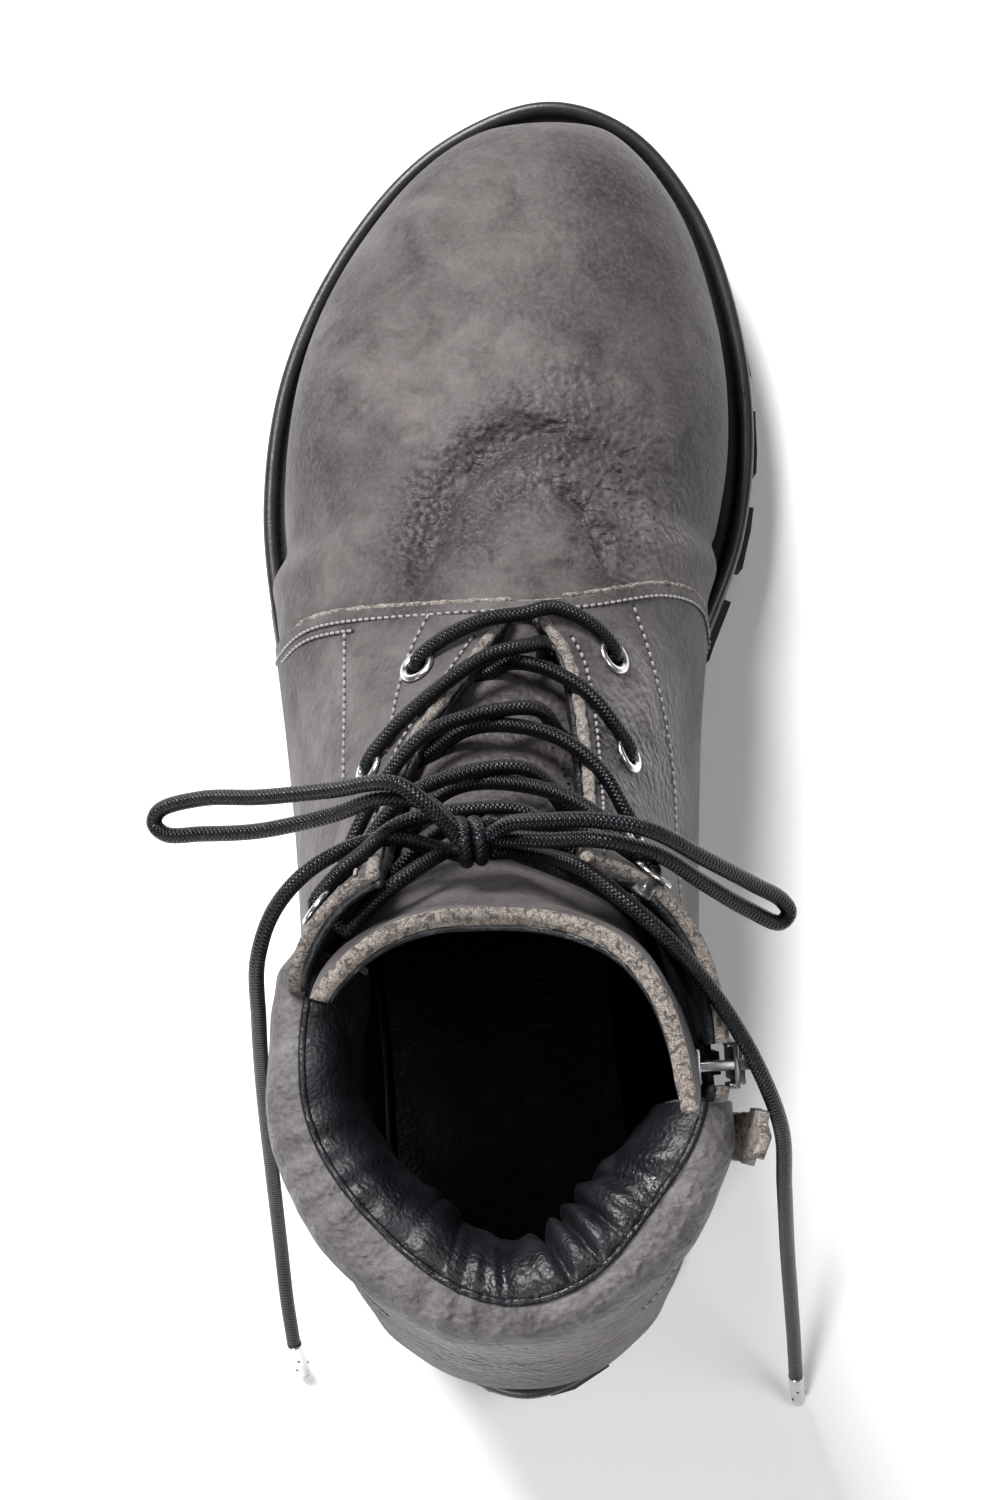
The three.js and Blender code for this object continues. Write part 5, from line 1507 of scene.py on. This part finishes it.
knot_runs.append([LOOP_OUTER[-1], KNOT + (-1.5, 0.6, -0.6), KNOT + (1, 0.6, -0.6), LOOP_INNER[-1]])
turn = np.linspace(-0.6, 4.1 * math.pi, 90)
reach = 4.5 + 0.25 * np.sin(turn * 0.5)
lean = 0.35
wrap = np.stack([-3.1 + 6.2 * (turn + 0.6) / (4.1 * math.pi + 0.6) + lean * 1.6 * np.sin(turn),
                 0.78 * reach * np.cos(turn), reach * 1.02 * np.sin(turn)], -1) + KNOT
strands = [tube_piece("strand", catmull(points, 40), LACE / 2, lace_braid, sides=14) for points in knot_runs]
strands.append(tube_piece("strand", wrap, 0.47 * LACE, lace_braid, sides=14))
dressed(joined("bow_knot", strands), "lace_cotton", "lace_knot")


# Zip: tape and chain, slider, pull and the frayed guard
def blocks_piece(name, blocks, frame_matrix, look, bevel=0.25):
    """Rounded blocks (width, height, depth, x, y, z) in a frame, as one mesh."""
    made = bmesh.new()
    for width, height, depth, x, y, z in blocks:
        geometry = bmesh.ops.create_cube(made, size=1)
        bmesh.ops.scale(made, vec=(width, height, depth), verts=geometry["verts"])
        edges = list({edge for vert in geometry["verts"] for edge in vert.link_edges})
        rounding = min(bevel, 0.3 * min(width, height, depth))
        result = bmesh.ops.bevel(made, geom=edges, offset=rounding, segments=3, affect="EDGES", profile=0.5)
        verts = {vert for face in result["faces"] for vert in face.verts}
        bmesh.ops.translate(made, vec=(x, y, z), verts=list(verts))
    bmesh.ops.transform(made, matrix=frame_matrix, verts=made.verts)
    bmesh.ops.scale(made, vec=(MM, MM, MM), verts=made.verts)
    mesh = bpy.data.meshes.new(name)
    made.to_mesh(mesh)
    made.free()
    mesh.materials.append(look)
    mesh.polygons.foreach_set("use_smooth", [True] * len(mesh.polygons))
    piece = bpy.data.objects.new(name, mesh)
    scene.collection.objects.link(piece)
    return piece


def frame_at(base, up, out):
    side = unit(np.cross(up, out))
    up = np.cross(out, side)
    turned = Matrix((side, up, out)).transposed().to_4x4()
    return Matrix.Translation(Vector(base)) @ turned


SLIDER_Z = COLLAR_HEIGHT - 2
CHAIN_TOP = COLLAR_HEIGHT - 8
slider_base = beside_zip(SLIDER_Z, 0, 0)
slider_out = unit(beside_zip(SLIDER_Z, 0, 1) - slider_base)
slider_up = unit(beside_zip(SLIDER_Z + 2, 0, 0) - slider_base)
slider_frame = frame_at(slider_base, slider_up, slider_out)
TAPE_REACH = 4.2


def tape_place(u, v, side):
    across = lerp(-TAPE_REACH, TAPE_REACH, v)
    return beside_zip(lerp(ZIP_BOTTOM, CHAIN_TOP, u), across, -0.5 if side else -1.7)


dressed(shape_slab("zip_tape_weave", 90, 8, tape_place, [tape_weave]), "zip_tape", "zip_tape")
TOOTH_PITCH = 1.35
teeth = []
heights = np.arange(ZIP_BOTTOM + 4, CHAIN_TOP, TOOTH_PITCH / 2)
bases = beside_zip(heights, 0, 0.2)
outs = unit(beside_zip(heights, 0, 1.2) - bases)
ups = unit(np.gradient(bases, axis=0))
for k, (base, out, up) in enumerate(zip(bases, outs, ups)):
    shift = 0.75 if k % 2 else -0.75
    tooth = [(3.0, 0.62, 1.6, shift, 0, 0)]
    teeth.append(blocks_piece("tooth", tooth, frame_at(base, up, out), tape_weave, 0.16))
dressed(joined("zip_chain", teeth), "zip_tape")

FRONT = 2.4
PLATE = 1.0
CROWN_GAP = 1.8
CROWN_REACH = 4.2
slider_blocks = [
    (9, 9, PLATE, 0, 0, FRONT + PLATE / 2), (7, 9, PLATE, 0, 0, -4.4),
    (2, 3.6, FRONT + 4.8, 0, 2.7, FRONT / 2 - 2),
    (1.0, 8.4, 1.6, -4.0, 0, FRONT - 0.3), (1.0, 8.4, 1.6, 4.0, 0, FRONT - 0.3),
    (2.2, 1.4, CROWN_GAP + 1, 0, 3, FRONT + PLATE + CROWN_GAP / 2),
    (2.2, 1.4, CROWN_GAP + 1, 0, 3 - CROWN_REACH, FRONT + PLATE + CROWN_GAP / 2),
    (2.2, CROWN_REACH + 1.4, 1.1, 0, 3 - CROWN_REACH / 2, FRONT + PLATE + CROWN_GAP + 0.5),
]
slider = blocks_piece("zip_slider_metal", slider_blocks, slider_frame, dark_nickel, 0.4)
dressed(slider, "zip_metal", "zip_slider")

PULL_PIVOT = (0, 0.6, FRONT + PLATE + CROWN_GAP / 2)
PULL_WIDTH = 8
PULL_LENGTH = 24
PULL_THICKNESS = 1.2
EYE = 3.85
rail = (PULL_WIDTH - 3.2) / 2
pull_blocks = [
    (rail, EYE + 1, PULL_THICKNESS, -(PULL_WIDTH - rail) / 2, -EYE / 2, 0),
    (rail, EYE + 1, PULL_THICKNESS, (PULL_WIDTH - rail) / 2, -EYE / 2, 0),
    (PULL_WIDTH, PULL_LENGTH - EYE, PULL_THICKNESS, 0, -(PULL_LENGTH + EYE) / 2, 0),
    (PULL_WIDTH - 3, PULL_LENGTH - EYE - 5, PULL_THICKNESS + 0.3, 0, -(PULL_LENGTH + EYE) / 2, 0),
    (PULL_WIDTH, 1.25, 1.25, 0, 0, 0),
]
pull_frame = slider_frame @ Matrix.Translation(Vector(PULL_PIVOT))
pull = blocks_piece("zip_pull_tab", pull_blocks, pull_frame, dark_nickel, 0.35)
dressed(pull, "zip_metal", "zip_pull", body=PULL)


def guard_place(u, v, side):
    z = np.minimum(lerp(ZIP_BOTTOM + 4, COLLAR_HEIGHT + 6, u), COLLAR_HEIGHT + 6)
    fray = 0.7 * np.sin(u * 70) * np.sin(u * 29 + 1)
    across = lerp(-ZIP_WIDTH / 2 - 5 + fray, -ZIP_WIDTH / 2 - 15 + 0.6 * np.sin(u * 51), v)
    stand = OVERLAY + 0.3 + 5.6 * smooth(z, COLLAR_HEIGHT - PAD_HEIGHT - 6, COLLAR_HEIGHT - PAD_HEIGHT + 8)
    wave = 0.4 * np.sin(u * 24 + v * 4) + 0.25 * np.sin(u * 60 + v * 9)
    return beside_zip(z, across, stand + wave + (2.2 if side else 0))


guard = shape_slab("zip_guard_leather", 140, 24, guard_place, [nubuck, raw_edge, raw_edge])
dressed(guard, "nubuck", "zip_guard")


# Sole
RING_STEPS = 1300
sole_out = sole_loop(0, RING_STEPS)
sole_tangent = unit(np.roll(sole_out, -1, 0) - np.roll(sole_out, 1, 0))
sole_inward = np.stack([sole_tangent[:, 1], -sole_tangent[:, 0]], -1)
sole_travel = np.cumsum(np.linalg.norm(np.diff(np.concatenate([sole_out[-1:], sole_out]), axis=0), axis=1))


def sole_ring(inset, rise):
    """One ring of the sole's section: how far in it lies, and how high over the sole's top."""
    flat = sole_out + sole_inward * np.broadcast_to(np.asarray(inset, float), (RING_STEPS,))[:, None]
    return np.concatenate([flat, (seat(flat[:, 1]) + rise)[:, None]], -1)


RIB_PITCH = 2.3
ribs = 0.5 + 0.5 * np.cos(2 * math.pi * sole_travel / RIB_PITCH)
# Section of the rim: how far in from the outline, and how high over the sole's top
RIM_SECTION = [
    (16, -MIDSOLE), (1.6, -MIDSOLE), (0.9, 0.25 - MIDSOLE), (0.5, 0.7 - MIDSOLE), (0.35, 1.6 - MIDSOLE),
    (0.35, -4.2), (0.9, -3.8), (0.9, -3.3), (0.2, -2.9), (0, -1.6),
]
RIM_SECTION += [(1.7 - 1.7 * math.cos(turn), RIM_RISE - 1.5 + 1.5 * math.sin(turn))
                for turn in np.linspace(0, math.pi, 9)]
RIM_SECTION += [(3.5 + 0.35 * ribs, 0.7), (3.7 + 0.35 * ribs, 0.05), (5.0, -0.1), (16, -0.1)]
rings = np.array([sole_ring(inset, rise) for inset, rise in RIM_SECTION])
count = len(rings)
faces = ring_faces(count, RING_STEPS)
midsole = turned_out(mesh_piece("midsole_rim", rings.reshape(-1, 3), faces, [rim_rubber]))
dressed(midsole, "midsole_rubber", "midsole")
